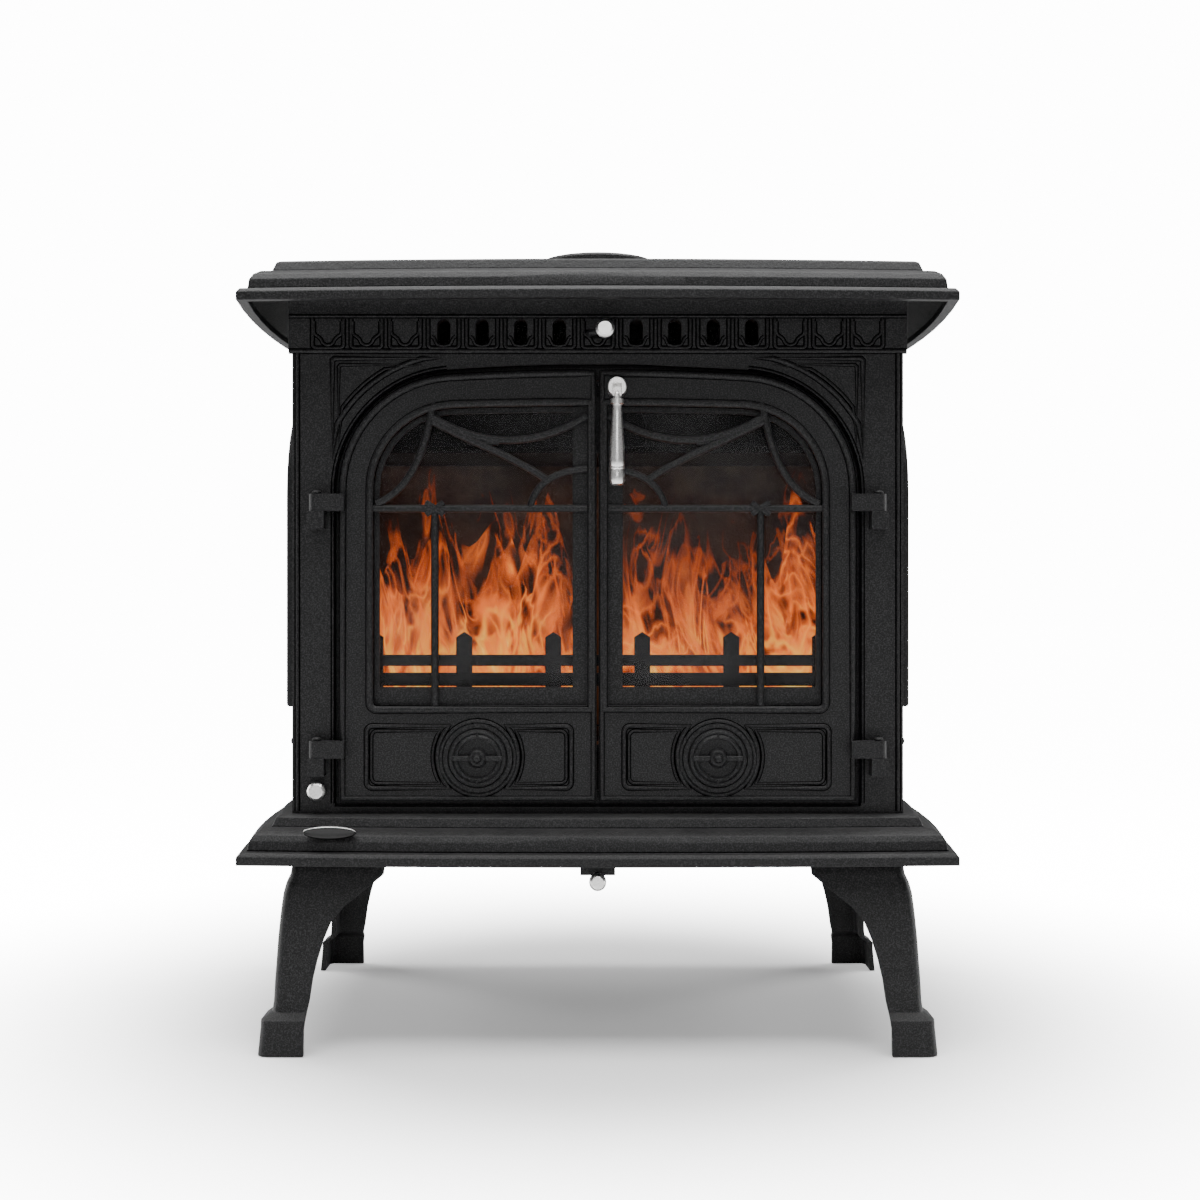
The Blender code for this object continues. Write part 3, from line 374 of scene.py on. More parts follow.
# %% Brick, rope, glass and enamel
def brick():
    mat, tree, shader = material("sooted_firebrick")
    place = tree.nodes.new("ShaderNodeTexCoord").outputs["Object"]
    pores = noise(tree, place, 380, 4.0).outputs["Fac"]
    cloud = noise(tree, place, 14, 5.0).outputs["Fac"]
    clean = ramp(tree, pores, [(0.3, (0.22, 0.185, 0.14)), (0.7, (0.34, 0.29, 0.22))])
    soot = ramp(tree, cloud, [(0.30, 0.62), (0.62, 0.97)])
    tree.links.new(mix_colour(tree, soot, clean, (0.040, 0.039, 0.038)), shader.inputs["Base Color"])
    tree.links.new(bump(tree, pores, 0.8, 0.0015), shader.inputs["Normal"])
    shader.inputs["Roughness"].default_value = 0.95
    return mat


def rope():
    mat, tree, shader = material("glass_fibre_rope")
    place = tree.nodes.new("ShaderNodeTexCoord").outputs["Object"]
    twist = tree.nodes.new("ShaderNodeTexWave")
    twist.inputs["Scale"].default_value = 260
    twist.inputs["Distortion"].default_value = 1.5
    twist.bands_direction = "DIAGONAL"
    tree.links.new(place, twist.inputs["Vector"])
    colour = ramp(tree, twist.outputs["Fac"],
                  [(0.2, (0.035, 0.034, 0.033)), (0.8, (0.16, 0.155, 0.15))])
    tree.links.new(colour, shader.inputs["Base Color"])
    tree.links.new(bump(tree, twist.outputs["Fac"], 0.9, 0.0010), shader.inputs["Normal"])
    shader.inputs["Roughness"].default_value = 0.92
    return mat


def stove_glass():
    """Ceramic glass, thin and clear, with a faint smoky bloom."""
    mat, tree, shader = material("stove_glass")
    place = tree.nodes.new("ShaderNodeTexCoord").outputs["Object"]
    bloom = noise(tree, place, 9, 3.0).outputs["Fac"]
    tree.links.new(ramp(tree, bloom, [(0.35, 0.10), (0.75, 0.20)]), shader.inputs["Alpha"])
    tree.links.new(ramp(tree, bloom, [(0.3, (0.04, 0.04, 0.042)), (0.8, (0.09, 0.09, 0.092))]),
                   shader.inputs["Base Color"])
    shader.inputs["Roughness"].default_value = 0.06
    shader.inputs["IOR"].default_value = 1.5
    return mat


def enamel():
    mat, tree, shader = material("black_enamel")
    place = tree.nodes.new("ShaderNodeTexCoord").outputs["Object"]
    ripple = noise(tree, place, 240, 2.0).outputs["Fac"]
    tree.links.new(ramp(tree, ripple, [(0.3, 0.0010), (0.7, 0.0022)]), shader.inputs["Base Color"])
    tree.links.new(bump(tree, ripple, 0.12, 0.0004), shader.inputs["Normal"])
    shader.inputs["Roughness"].default_value = 0.34
    shader.inputs["Specular IOR Level"].default_value = 0.12
    return mat


BRICK = brick()
ROPE = rope()
GLASS = stove_glass()
ENAMEL = enamel()
print("other finishes", [m.name for m in (BRICK, ROPE, GLASS, ENAMEL)])

# %% [markdown]
# Every solid of the frame gets its finish by its record slot. A casting that only needs softer
# arrises is copied, its loose triangles are merged, and a small Bevel rounds its edges, because
# paint pools there and a real arris always catches a line of light. The copy stands for the solid
# it came from.

# %% Finish by slot
SLOT_FINISH = {"cast_iron": IRON, "chrome": CHROME, "steel": STEEL, "firebrick": BRICK, "rope": ROPE,
               "glass": GLASS, "badge": ENAMEL}
SLOT = {entry["node"]: entry["material_slot"] for entry in frame["record"]["subparts"]}
BODY = {node: body for body, nodes in frame["record"]["behaviour"]["bodies"].items() for node in nodes}
INSIDE = {"baffle_plate", "riddling_grate", "grate_frame", "ash_pan", "riddling_rod"}


def finish_for(node):
    if node in INSIDE:
        return IRON_INSIDE
    if node.endswith(("_valve_spindle", "_hinge_pin", "_side_screw")):
        return IRON
    return SLOT_FINISH[SLOT[node]]


def paint(piece, mat):
    piece.data.materials.clear()
    piece.data.materials.append(mat)
    return piece


for node, solid in frame["nodes"].items():
    while len(solid.material_slots) == 0:
        solid.data.materials.append(None)
    for held in solid.material_slots:
        held.material = finish_for(node)
print("finished", len(SLOT), "solids")

# %% Soften the castings
def apply_all(piece):
    select_only(piece)
    for step in list(piece.modifiers):
        bpy.ops.object.modifier_apply(modifier=step.name)


def soften(node, width, angle=32, dissolve=2.0):
    """A copy of a solid with merged faces and rounded edges, shaded smooth, its flats kept flat."""
    solid = frame["nodes"][node]
    piece = bpy.data.objects.new(node + "_casting", solid.data.copy())
    bpy.context.scene.collection.objects.link(piece)
    piece.matrix_world = solid.matrix_world
    select_only(piece)
    bpy.ops.object.mode_set(mode="EDIT")
    bpy.ops.mesh.select_all(action="SELECT")
    bpy.ops.mesh.remove_doubles(threshold=0.00001)
    bpy.ops.mesh.dissolve_limited(angle_limit=math.radians(dissolve))
    bpy.ops.object.mode_set(mode="OBJECT")
    if width:
        rounding = piece.modifiers.new("arris", "BEVEL")
        rounding.width = width
        rounding.segments = 2
        rounding.limit_method = "ANGLE"
        rounding.angle_limit = math.radians(angle)
        apply_all(piece)
    select_only(piece)
    bpy.ops.object.shade_smooth_by_angle(angle=math.radians(angle))
    flats = piece.modifiers.new("flats", "WEIGHTED_NORMAL")
    flats.keep_sharp = True
    flats.weight = 90
    apply_all(piece)
    paint(piece, finish_for(node))
    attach(piece, BODY[node])
    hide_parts(node)
    return piece


PLAIN_CASTINGS = {"front_frame": 0.0009, "left_door": 0.0008, "right_door": 0.0008,
                  "left_side_panel": 0.0012, "right_side_panel": 0.0012, "back_panel": 0.0010,
                  "left_side_shield": 0.0030, "right_side_shield": 0.0030, "log_guard": 0.0010,
                  "slide_bracket": 0.0010, "rear_blanking_plate": 0.0008, "latch_tongue": 0.0006,
                  "latch_keeper": 0.0006, "ash_pan": 0.0006, "rear_firebrick": 0.002,
                  "left_firebrick": 0.002, "right_firebrick": 0.002, "baffle_plate": 0.001,
                  "grate_frame": 0.001, "riddling_grate": 0.001}
for node, width in PLAIN_CASTINGS.items():
    soften(node, width)
print("softened", len(PLAIN_CASTINGS), "castings")

# %% [markdown]
# ## Plates, legs and collar
# The two plates carry an ogee: a quarter-round over a thin lip. A smooth run of facets reads as a
# curve once it is shaded smooth by angle, while the crisp fillets between the members stay sharp.
# The legs are lofts, so they get a wide bevel and smooth shading, which is how a hand-dressed
# casting looks.

# %% Smooth the mouldings and legs
HOLLOW_BANDS = ((0.0130, 0.0143), (0.0341, 0.0355))     # heights over the lip


def paint_hollow_shade(piece, lip_z):
    """Painted shade: the faces in the two inner corners of the moulding, given by their height over the
    lip, get the near-black groove finish.
    """
    piece.data.materials.append(GROOVE_SHADE)
    count = 0
    for face in piece.data.polygons:
        rise = (piece.matrix_world @ face.center).z - lip_z
        if any(low < rise < high for low, high in HOLLOW_BANDS):
            face.material_index = 1
            count += 1
    print(piece.name, count, "hollow faces")


# The two hollow bands of each plate get the painted groove shade.
for node in ("top_plate", "base_plate"):
    paint_hollow_shade(soften(node, 0.0009, angle=24, dissolve=0.4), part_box(node)[0][2])
for corner in ("front_left", "front_right", "rear_left", "rear_right"):
    soften(corner + "_leg", 0.0012, angle=38, dissolve=0.4)
    soften(corner + "_leg_bolt", 0.0004, angle=30)
for node in ("flue_collar", "latch_spindle", "riddling_knob", "top_slide_knob", "bottom_slide_knob",
             "riddling_rod", "top_air_slide", "bottom_air_slide", "left_side_screw", "right_side_screw",
             "left_valve_spindle", "right_valve_spindle"):
    soften(node, 0.0005, angle=30, dissolve=0.4)
for side in ("left", "right"):
    for level in ("lower", "upper"):
        soften(f"{side}_{level}_hinge_pin", 0.0003, angle=30, dissolve=0.4)
        soften(f"{side}_{level}_glass_clip", 0.0005)
print("plates and legs done")

# %% [markdown]
# ## Raised beads
# A pattern maker lays a thin half-round bead round every panel. A bead is a line swept with a
# round section and sunk to its middle in the casting. One helper draws all of them: the line is a
# curve, its section is the bevel depth, and convert turns it into a mesh. A flat near-black band
# round the bead is painted shade: it stands for the shadow in the corner beside it.

# %% Bead helper
BODY_SIDES = ((-1, "left"), (1, "right"))


def piece_from(name, work):
    """Makes the bmesh an object, frees it, and selects the object."""
    piece = bpy.data.objects.new(name, bpy.data.meshes.new(name))
    bpy.context.scene.collection.objects.link(piece)
    work.to_mesh(piece.data)
    work.free()
    select_only(piece)
    return piece


def sweep(name, points, radius, closed, smooth_steps):
    """Sweeps a round section along points, and makes a mesh of it."""
    curve = bpy.data.curves.new(name, "CURVE")
    curve.dimensions = "3D"
    curve.bevel_depth = radius
    curve.bevel_resolution = smooth_steps
    curve.use_fill_caps = not closed
    spline = curve.splines.new("POLY")
    spline.points.add(len(points) - 1)
    for point, place in zip(spline.points, points):
        point.co = (*place, 1.0)
    spline.use_cyclic_u = closed
    piece = bpy.data.objects.new(name, curve)
    bpy.context.scene.collection.objects.link(piece)
    select_only(piece)
    bpy.ops.object.convert(target="MESH")
    bpy.ops.object.mode_set(mode="EDIT")
    bpy.ops.mesh.select_all(action="SELECT")
    bpy.ops.mesh.remove_doubles(threshold=0.00001)
    bpy.ops.mesh.normals_make_consistent(inside=False)
    bpy.ops.object.mode_set(mode="OBJECT")
    bpy.ops.object.shade_smooth_by_angle(angle=math.radians(50))
    return piece


BEAD_LIFT = 0.0001      # keeps the dark band just in front of a flat face
GROOVE_SHADE_WIDTH = 0.0013
GROOVE_SHADE_RISE = 0.05      # the painted groove shade is a dark band that stands this share of its width proud


def bead(name, points, radius, mat=None, closed=False, shade_band=True, smooth_steps=3):
    """A half-sunk bead along points, with a band of painted shade on both sides of it."""
    piece = paint(sweep(name, points, radius, closed, smooth_steps), mat or IRON)
    if not shade_band:
        return piece
    # The band is painted shade: the shadow in the corner beside the bead.
    band = sweep(name + "_groove", points, radius + GROOVE_SHADE_WIDTH, closed, 1)
    flatten = Matrix.Translation((0, points[0][1], 0)) @ Matrix.Diagonal((1, GROOVE_SHADE_RISE, 1, 1))
    band.data.transform(flatten @ Matrix.Translation((0, -points[0][1], 0)))
    paint(band, GROOVE_SHADE)
    select_only(piece, band)
    bpy.ops.object.join()
    return piece


def joined(name, parts, body):
    """Several beads of one casting as one piece."""
    select_only(*parts)
    bpy.ops.object.join()
    piece = bpy.context.object
    piece.name = name
    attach(piece, body)
    return piece


def arc(x, z, radius, start, end, steps=8):
    """Points on an arc, angles in degrees from +X towards +Z."""
    turn = [math.radians(start + (end - start) * i / steps) for i in range(steps + 1)]
    return [(x + radius * math.cos(a), z + radius * math.sin(a)) for a in turn]


def upright(points, y):
    return [(x, y, z) for x, z in points]


HAUNCH_X = 0.1415
SPRING_Z = 0.5513


def half_arch(outer, inner, bottom, crown, corner=0.0, steps=14):
    """Half of a three-centred arch with its sill: haunch arc, crown arc, then straight down."""
    haunch = outer - HAUNCH_X
    rise = crown - SPRING_Z
    radius = (HAUNCH_X ** 2 + rise ** 2 - haunch ** 2) / (2 * (rise - haunch))
    lean = math.asin(HAUNCH_X / (radius - haunch))
    points = arc(outer - corner, bottom + corner, corner, 270, 360, 5) if corner else [(outer, bottom)]
    points += arc(HAUNCH_X, SPRING_Z, haunch, 0, 90 - math.degrees(lean), steps)
    for i in range(1, 8):
        angle = lean * (1 - i / 7)
        x = radius * math.sin(angle)
        if x > inner:
            points.append((x, crown - radius * (1 - math.cos(angle))))
    points.append((inner, crown))
    points.append((inner, bottom))
    return points


def on_side(side, points):
    return [(side * x, z) for x, z in points]


print("half arch points", len(half_arch(0.2519, 0.0045, 0.2450, 0.6662)))

# %% [markdown]
# ## Doors
# Each door has an outer bead round its leaf, a second bead round the window, a shallow cartouche
# panel on each side of the air valve, and a raised ring round the valve. The cartouche side next
# to the valve is hollowed to follow the ring.

# %% Door beads and panels
VALVE_X = (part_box("right_air_wheel")[0][0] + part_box("right_air_wheel")[1][0]) / 2
VALVE_Z = (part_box("right_air_wheel")[0][2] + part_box("right_air_wheel")[1][2]) / 2
LEAF_FRONT_Y = -0.1640
PANEL_LOW_Z = 0.2555
PANEL_HIGH_Z = 0.3172
PANEL_FAR_X = 0.2292            # the end of a cartouche panel at the hinge side
PANEL_NEAR_X = 0.0262           # and at the meeting side
PANEL_REACH = 0.0400            # from the middle of the valve to where a panel's outline starts
PANEL_HOLLOW = 0.0465           # radius of the hollowed end
RING_RADII = ((0.0368, 0.0019), (0.0326, 0.0013))           # round the valve, with bead radius
PANEL_BEADS = ((0.0, 0.0020), (0.0048, 0.0011))             # inset from the outline, with bead radius


def cartouche(far, low, high, reach, hollow, flip):
    """A panel outline: small round corners at far, and hollowed round the valve at reach."""
    corner = 0.006
    sign = -1 if flip else 1
    span = math.degrees(math.asin((high - low) / 2 / hollow))
    points = []
    points += [(far - sign * corner + sign * corner * math.cos(a), low + corner + corner * math.sin(a))
               for a in (math.radians(270 + 15 * i) for i in range(7))]
    points += [(far - sign * corner + sign * corner * math.cos(a), high - corner + corner * math.sin(a))
               for a in (math.radians(15 * i) for i in range(7))]
    middle = (low + high) / 2
    points += [(reach - sign * (hollow - hollow * math.cos(math.radians(t))),
                middle + hollow * math.sin(math.radians(t)))
               for t in [span * (1 - i / 6) for i in range(13)]]
    return points


def door_beads(side, name):
    body = BODY[name + "_door"]
    y = LEAF_FRONT_Y
    parts = [bead("b", upright(on_side(side, half_arch(0.2529, 0.0042, 0.2451, 0.6669)), y), 0.0032,
                  closed=True)]
    window = half_arch(0.2260, 0.0070, 0.3334, 0.6380, corner=0.007)
    parts.append(bead("b", upright(on_side(side, window), y), 0.0038, closed=True))
    for radius, thick in RING_RADII:
        ring = arc(side * VALVE_X, VALVE_Z, radius, 0, 350, 35)
        parts.append(bead("b", upright(ring, y - 0.0004), thick, closed=True))
    for far, reach, flip in ((PANEL_FAR_X, VALVE_X + PANEL_REACH, False),
                             (PANEL_NEAR_X, VALVE_X - PANEL_REACH, True)):
        for inset, thick in PANEL_BEADS:
            sign = -1 if flip else 1
            outline = cartouche(far - sign * inset, PANEL_LOW_Z + inset, PANEL_HIGH_Z - inset,
                                reach + sign * inset, PANEL_HOLLOW + inset, flip)
            parts.append(bead("b", upright(on_side(side, outline), y - BEAD_LIFT), thick, closed=True))
    return joined(name + "_door_beads", parts, body)


for side, name in BODY_SIDES:
    piece = door_beads(side, name)
    print(piece.name, len(piece.data.vertices), "vertices")

# %% [markdown]
# ## Frieze
# The frieze is a row of small tiles, each with a drooping cartouche, closed below by a bead. Most
# tiles are pierced by an air slot. The band leans out above the tiles in a cove that meets the
# top plate. One function draws a tile at any place along the band, so that all stay alike.

# %% Frieze tiles
FRAME_FRONT_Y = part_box("left_side_panel")[0][1] - 0.0173
SLOT_PITCH = 0.0383
TILE_WIDTH = 0.0308
TILE_LOW_Z = 0.6925
TILE_HIGH_Z = 0.7215


def tile_outline(x):
    half = TILE_WIDTH / 2
    low = TILE_LOW_Z
    left = [(x - half, TILE_HIGH_Z)] + [(x - half + 0.0035 - 0.0035 * math.cos(math.radians(t)),
                                         low + 0.0035 - 0.0035 * math.sin(math.radians(t)))
                                        for t in range(0, 91, 18)]
    return left + [(2 * x - px, pz) for px, pz in reversed(left)]


def tile_cartouche(x):
    half = [(x - 0.0138, 0.7190), (x - 0.0138, 0.7085), (x - 0.0126, 0.7056), (x - 0.0095, 0.7036),
            (x - 0.0072, 0.7014), (x - 0.0052, 0.6975), (x - 0.0028, 0.6957), (x, 0.6950)]
    return half + [(2 * x - px, pz) for px, pz in reversed(half[:-1])]


def frieze():
    y = FRAME_FRONT_Y - BEAD_LIFT
    parts = []
    for i in range(-7, 8):
        x = i * SLOT_PITCH
        parts.append(bead("t", upright(tile_outline(x), y), 0.00135))
        if not 1 <= abs(i) <= 4:
            parts.append(bead("t", upright(tile_cartouche(x), y), 0.0010))
    for i in [k for k in range(-4, 5) if k]:
        x = i * SLOT_PITCH
        shelf = [(x - 0.0120, 0.7040), (x - 0.0095, 0.7022), (x - 0.0079, 0.6985), (x - 0.0062, 0.6955),
                 (x, 0.6942), (x + 0.0062, 0.6955), (x + 0.0079, 0.6985), (x + 0.0095, 0.7022),
                 (x + 0.0120, 0.7040)]
        parts.append(bead("t", upright(shelf, y), 0.0010))
    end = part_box("front_frame")[1][0] - 0.0004
    for z, radius in ((0.6893, 0.0020), (0.7240, 0.0012)):
        parts.append(bead("t", upright([(-end, z), (end, z)], y), radius))
    return joined("frieze_tiles", parts, "stove")


piece = frieze()
print(piece.name, len(piece.data.vertices), "vertices")

# %% Cove above the tiles
COVE_LOW_Z = 0.7255
COVE_REACH_Z = 0.020        # how far it goes up behind the lip of the top plate
COVE_LEAN = 0.0085


def cove():
    """A hollow quarter that leans out to the top plate, as wide as the frame."""
    low, high = COVE_LOW_Z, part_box("top_plate")[0][2] + COVE_REACH_Z
    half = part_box("front_frame")[1][0]
    steps = 8
    front = FRAME_FRONT_Y
    work = bmesh.new()
    section = []
    for i in range(steps + 1):
        a = math.pi / 2 * i / steps
        section.append((front - COVE_LEAN * (1 - math.cos(a)), low + (high - low) * math.sin(a)))
    section += [(front + 0.0001, high), (front + 0.0001, low)]
    rows = [[work.verts.new((x, y, z)) for y, z in section] for x in (-half, half)]
    for i in range(len(section)):
        k = (i + 1) % len(section)
        work.faces.new((rows[0][i], rows[0][k], rows[1][k], rows[1][i]))
    work.faces.new(rows[0])
    work.faces.new(rows[1])
    bmesh.ops.recalc_face_normals(work, faces=work.faces)
    piece = piece_from("frieze_cove", work)
    bpy.ops.object.shade_smooth_by_angle(angle=math.radians(30))
    paint(piece, IRON)
    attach(piece, "stove")
    return piece


print(cove().name, "made")

# %% [markdown]
# ## Front frame ornament
# In each upper corner a raised three-sided moulding fills the space between the arch and the
# frieze, and a thin bead runs up each stile. The triangle's long side is concentric with the
# arch.

# %% Corner mouldings and stile beads
STILE_X = 0.2985
REVEAL_X = 0.2632       # the edge of the door opening


def spandrel(inset):
    """Outline of a corner moulding: top, side, and a long side that follows the arch."""
    far_x = 0.2636 - inset
    top_z = 0.6820 - inset
    radius = 0.1345 + 0.75 * inset
    curve = arc(HAUNCH_X, SPRING_Z, radius, 15 + inset * 900, 81 - inset * 900, 14)
    tip_low = (far_x, curve[0][1] - 0.002)
    points = [tip_low] + [(x, z) for x, z in curve if x < far_x and z < top_z]
    points.append((curve[-1][0] - 0.006 + inset, top_z))
    points.append((far_x - 0.002, top_z))
    points.append((far_x, top_z - 0.002))
    return points


def frame_ornament():
    y = FRAME_FRONT_Y - BEAD_LIFT
    parts = []
    for side in (-1, 1):
        for inset, thick in ((0.0, 0.0022), (0.0062, 0.0012)):
            outline = on_side(side, spandrel(inset))
            parts.append(bead("s", upright(outline, y), thick, closed=True))
        stile = [(side * STILE_X, 0.2325), (side * STILE_X, 0.6870)]
        parts.append(bead("s", upright(stile, y), 0.0016))
        reveal = [(side * REVEAL_X, 0.2400), (side * REVEAL_X, SPRING_Z)]
        reveal += on_side(side, arc(HAUNCH_X, SPRING_Z, REVEAL_X - HAUNCH_X, 0, 86, 16))
        parts.append(bead("s", upright(reveal, y), 0.0010))
    return joined("frame_ornament", parts, "stove")


piece = frame_ornament()
print(piece.name, len(piece.data.vertices), "vertices")

# %% [markdown]
# ## Tracery
# The window tracery is a flat grille of rounded bars: a transom, a mullion with a small ribbon
# knot where they cross, and a web of curved branches above. Each bar is swept with a round section.

# %% Tracery
def bend(start, middle, end, steps=14):
    """A curve from start to end, pulled towards middle, in the door's plane."""
    return [tuple(a * (1 - t) ** 2 + 2 * b * t * (1 - t) + c * t * t
                  for a, b, c in zip(start, middle, end))
            for t in (i / steps for i in range(steps + 1))]


TRANSOM_Z = 0.5328
KNOT_X = 0.1616


def tracery(side, name):
    node = name + "_tracery"
    low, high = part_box(node)
    y = (low[1] + high[1]) / 2
    body = BODY[node]
    bars = [
        ([(0.2225, TRANSOM_Z), (0.0105, TRANSOM_Z)], 0.0038),
        ([(KNOT_X, TRANSOM_Z), (KNOT_X, 0.3372)], 0.0038),
        (bend((0.1660, 0.6240), (0.1785, 0.5540), (0.2195, 0.5372)), 0.0038),
        (bend((0.1640, 0.6235), (0.0880, 0.5770), (0.0105, 0.6245)), 0.0038),
        ([(0.1640, 0.6190), (0.1268, 0.6009), (0.0970, 0.5878), (0.0672, 0.5722),
          (0.0494, 0.5611)], 0.0037),
        (bend((0.0672, 0.5335), (0.0600, 0.5690), (0.0105, 0.5722)), 0.0036),
        (bend((0.1640, 0.6235), (0.1680, 0.6300), (0.1600, 0.6360), 6), 0.0042),
    ]
    parts = [bead("w", upright(on_side(side, line), y), radius, shade_band=False, smooth_steps=4)
             for line, radius in bars]
    web = bend((0.1480, 0.6125), (0.1180, 0.5965), (0.0985, 0.5985))
    parts.append(bead("w", upright(on_side(side, web), y + 0.0008), 0.0030, shade_band=False))
    for lean in (-1, 1):
        ribbon = [(KNOT_X - 0.0088, TRANSOM_Z - lean * 0.0062), (KNOT_X, TRANSOM_Z + lean * 0.0006),
                  (KNOT_X + 0.0088, TRANSOM_Z + lean * 0.0062)]
        parts.append(bead("w", upright(on_side(side, ribbon), y - 0.0016), 0.0029, shade_band=False))
        binding = [(KNOT_X + lean * 0.0064, TRANSOM_Z - 0.0052), (KNOT_X + lean * 0.0076, TRANSOM_Z),
                   (KNOT_X + lean * 0.0064, TRANSOM_Z + 0.0052)]
        parts.append(bead("w", upright(on_side(side, binding), y - 0.0010), 0.0024, shade_band=False))
    piece = joined(name + "_window_tracery", parts, body)
    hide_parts(node)
    return piece


for side, name in BODY_SIDES:
    piece = tracery(side, name)
    print(piece.name, len(piece.data.vertices), "vertices")

# %% [markdown]
# ## Air valves and handle
# A spin valve is a turned disc with a dished face and a hub, so it is a lathe profile spun in
# edit mode. A grip bar crosses the dish and leaves two half-moon hollows. The handle is lathe
# work too, in bright metal.

# %% Spin helper
def spun(name, profile, centre, axis, mat, body, steps=64):
    """Spins a profile of (radius, height) round an axis through centre."""
    work = bmesh.new()
    row = [work.verts.new((radius, 0, height)) for radius, height in profile]
    for first, second in zip(row, row[1:]):
        work.edges.new((first, second))
    piece = piece_from(name, work)
    bpy.ops.object.mode_set(mode="EDIT")
    bpy.ops.mesh.select_all(action="SELECT")
    bpy.ops.mesh.spin(steps=steps, angle=2 * math.pi, center=(0, 0, 0), axis=(0, 0, 1))
    bpy.ops.mesh.select_all(action="SELECT")
    bpy.ops.mesh.remove_doubles(threshold=0.00001)
    bpy.ops.mesh.normals_make_consistent(inside=False)
    bpy.ops.object.mode_set(mode="OBJECT")
    turn = Matrix.Rotation(math.pi / 2, 4, "X") if axis == "front" else Matrix.Identity(4)
    piece.data.transform(Matrix.Translation(centre) @ turn)
    select_only(piece)
    bpy.ops.object.shade_smooth_by_angle(angle=math.radians(38))
    paint(piece, mat)
    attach(piece, body)
    return piece


# %% Air wheels
def air_wheel(name):
    node = name + "_air_wheel"
    low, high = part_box(node)
    back = high[1]
    centre = ((low[0] + high[0]) / 2, back, (low[2] + high[2]) / 2)
    profile = [(0.0040, 0.0), (0.0283, 0.0), (0.0287, 0.0020), (0.0287, 0.0062), (0.0279, 0.0078),
               (0.0262, 0.0086), (0.0248, 0.0082), (0.0240, 0.0070), (0.0232, 0.0080), (0.0214, 0.0090),
               (0.0198, 0.0084), (0.0190, 0.0046), (0.0100, 0.0042), (0.0090, 0.0060), (0.0084, 0.0098),
               (0.0070, 0.0112), (0.0042, 0.0115), (0.0040, 0.0)]
    body = BODY[node]
    wheel = spun(name + "_valve_disc", profile, centre, "front", IRON, body)
    bpy.ops.mesh.primitive_cube_add(size=1, location=(centre[0], back - 0.0068, centre[2]))
    bar = bpy.context.object
    bar.scale = (0.0496, 0.0064, 0.0050)
    select_only(bar)
    bpy.ops.object.transform_apply(location=True, rotation=False, scale=True)
    rounding = bar.modifiers.new("round", "BEVEL")
    rounding.width = 0.0012
    rounding.segments = 3
    apply_all(bar)
    parts = [wheel, paint(bar, IRON)]
    for lift in (-1, 1):
        stud = (centre[0], back - 0.0086, centre[2] + lift * 0.0234)
        bpy.ops.mesh.primitive_uv_sphere_add(segments=16, ring_count=8, radius=0.0014, location=stud)
        parts.append(paint(bpy.context.object, IRON))
    for piece in parts[1:]:
        select_only(piece)
        bpy.ops.object.transform_apply(location=True, rotation=False, scale=True)
    piece = joined(name + "_valve", parts, body)
    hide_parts(node)
    return piece


for _, name in BODY_SIDES:
    print(air_wheel(name).name, "made")

# %% Drop handle
def handle():
    low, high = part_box("door_handle")
    centre = ((low[0] + high[0]) / 2, (low[1] + high[1]) / 2, high[2])
    profile = [(0.0, 0.0), (0.0014, -0.0008), (0.0024, -0.0032), (0.0036, -0.0078), (0.0060, -0.0080),
               (0.0066, -0.0086), (0.0066, -0.0128), (0.0060, -0.0134), (0.0049, -0.0140),
               (0.0045, -0.0160), (0.0050, -0.0240), (0.0064, -0.0430), (0.0072, -0.0560),
               (0.0075, -0.0680), (0.0075, -0.0742), (0.0072, -0.0746), (0.0075, -0.0750),
               (0.0075, -0.0766), (0.0072, -0.0770), (0.0075, -0.0774), (0.0075, -0.0880),
               (0.0062, -0.0915), (0.0040, -0.0928), (0.0, -0.0930)]
    piece = spun("drop_handle", profile, centre, "up", CHROME, BODY["door_handle"], 56)
    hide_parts("door_handle")
    return piece


print(handle().name, "made")

# %% Blank badge with a raised rim
def badge():
    low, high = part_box("badge_plate")
    middle = [(a + b) / 2 for a, b in zip(low, high)]
    outline = [(0.0252 * math.cos(math.radians(t)), 0.0072 * math.sin(math.radians(t)))
               for t in range(0, 360, 6)]
    lean = math.radians(-42)
    lift = 0.0006
    ring = [(middle[0] + x, middle[1] + z * math.sin(lean) - lift,
             middle[2] + z * math.cos(lean) + lift) for x, z in outline]
    rim = bead("badge_rim", ring, 0.00045, CHROME, closed=True, shade_band=False)
    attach(rim, BODY["badge_plate"])
    return rim


print(badge().name, "made")

# %% [markdown]
# ## Fire
# The fire is a set of thin upright sheets of flame, one behind another. Each is a grid whose
# edges are pulled in towards tongues, and its material fades from yellow at the grate to clear at
# the tips, with noise that is stretched upwards. They stop short of the meeting line, so no light
# leaks between the doors.

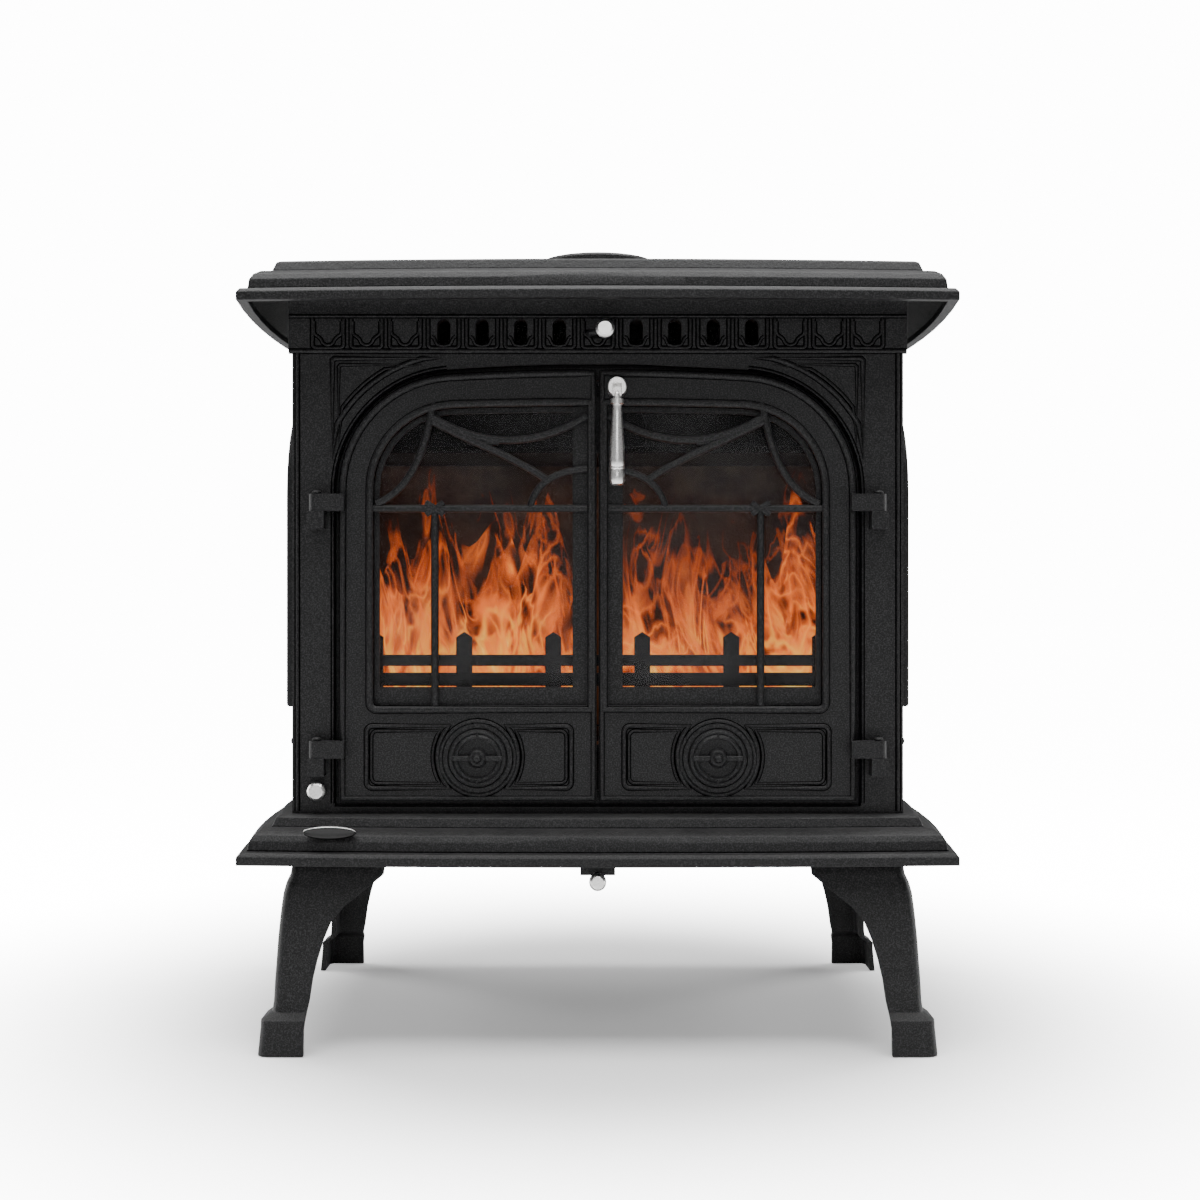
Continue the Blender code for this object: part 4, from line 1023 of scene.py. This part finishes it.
# %% Flame material
def flame_material():
    mat, tree, shader = material("flame")
    place = tree.nodes.new("ShaderNodeTexCoord").outputs["Object"]
    stretch = tree.nodes.new("ShaderNodeMapping")
    stretch.inputs["Scale"].default_value = (1.0, 1.0, 0.34)
    tree.links.new(place, stretch.inputs["Vector"])
    threads = noise(tree, stretch.outputs[0], 17, 2.5, 0.5)
    threads.inputs["Distortion"].default_value = 2.2
    fold = math_node(tree, "ABSOLUTE", math_node(tree, "SUBTRACT", threads.outputs["Fac"], 0.5), 0.0)
    ridge = math_node(tree, "SUBTRACT", 0.85, math_node(tree, "MULTIPLY", fold, 6.0))
    tongues = noise(tree, stretch.outputs[0], 9, 2.0, 0.5).outputs["Fac"]
    split = tree.nodes.new("ShaderNodeSeparateXYZ")
    tree.links.new(place, split.inputs[0])
    rise = math_node(tree, "MULTIPLY", math_node(tree, "SUBTRACT", split.outputs["Z"], 0.380), 4.2)
    body = math_node(tree, "SUBTRACT", math_node(tree, "MULTIPLY", tongues, 2.0), rise)
    heat = math_node(tree, "MULTIPLY", math_node(tree, "ADD", body, ridge), 0.42)
    colour = ramp(tree, heat, [(0.22, (0.14, 0.010, 0.002)), (0.40, (0.80, 0.085, 0.012)),
                               (0.64, (1.0, 0.19, 0.028)), (0.84, (1.0, 0.42, 0.05)),
                               (0.98, (1.0, 0.82, 0.22))])
    tree.links.new(colour, shader.inputs["Emission Color"])
    shader.inputs["Emission Strength"].default_value = 1.6
    shader.inputs["Base Color"].default_value = (0.01, 0.005, 0.003, 1)
    shader.inputs["Specular IOR Level"].default_value = 0.0
    tree.links.new(ramp(tree, heat, [(0.40, 0.0), (0.56, 0.30), (0.72, 0.80), (0.92, 0.96)]),
                   shader.inputs["Alpha"])
    return mat


FLAME = flame_material()


FLAME_NEAR_X = 0.021
FLAME_FAR_X = 0.240
FLAME_LOW_Z = 0.335
FLAME_HIGH_Z = 0.585
SHEETS = ((-0.085, 0.4), (-0.030, 4.1), (0.030, 5.6))       # depth of each sheet, with its phase


def flame_sheet(name, y, low_x, high_x, phase):
    bpy.ops.mesh.primitive_grid_add(x_subdivisions=44, y_subdivisions=26, size=1)
    sheet = bpy.context.object
    sheet.name = name
    for vertex in sheet.data.vertices:
        u = vertex.co.x + 0.5
        v = vertex.co.y + 0.5
        tongue = 0.72 + 0.28 * math.sin(u * 17 + phase) * math.cos(u * 7 - phase)
        sway = 0.012 * math.sin(6 * v + 9 * u + phase) * v
        vertex.co = (low_x + (high_x - low_x) * u + sway, y + 0.016 * math.sin(11 * u + 5 * v + phase),
                     FLAME_LOW_Z + (FLAME_HIGH_Z - FLAME_LOW_Z) * v * tongue)
    select_only(sheet)
    bpy.ops.object.shade_smooth()
    paint(sheet, FLAME)
    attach(sheet, "stove")
    return sheet


for side, name in BODY_SIDES:
    for depth, (y, phase) in enumerate(SHEETS):
        low_x, high_x = sorted((side * FLAME_NEAR_X, side * FLAME_FAR_X))
        flame_sheet(f"{name}_flame_{depth}", y, low_x, high_x, phase + 2 * side)
print("flame sheets made")
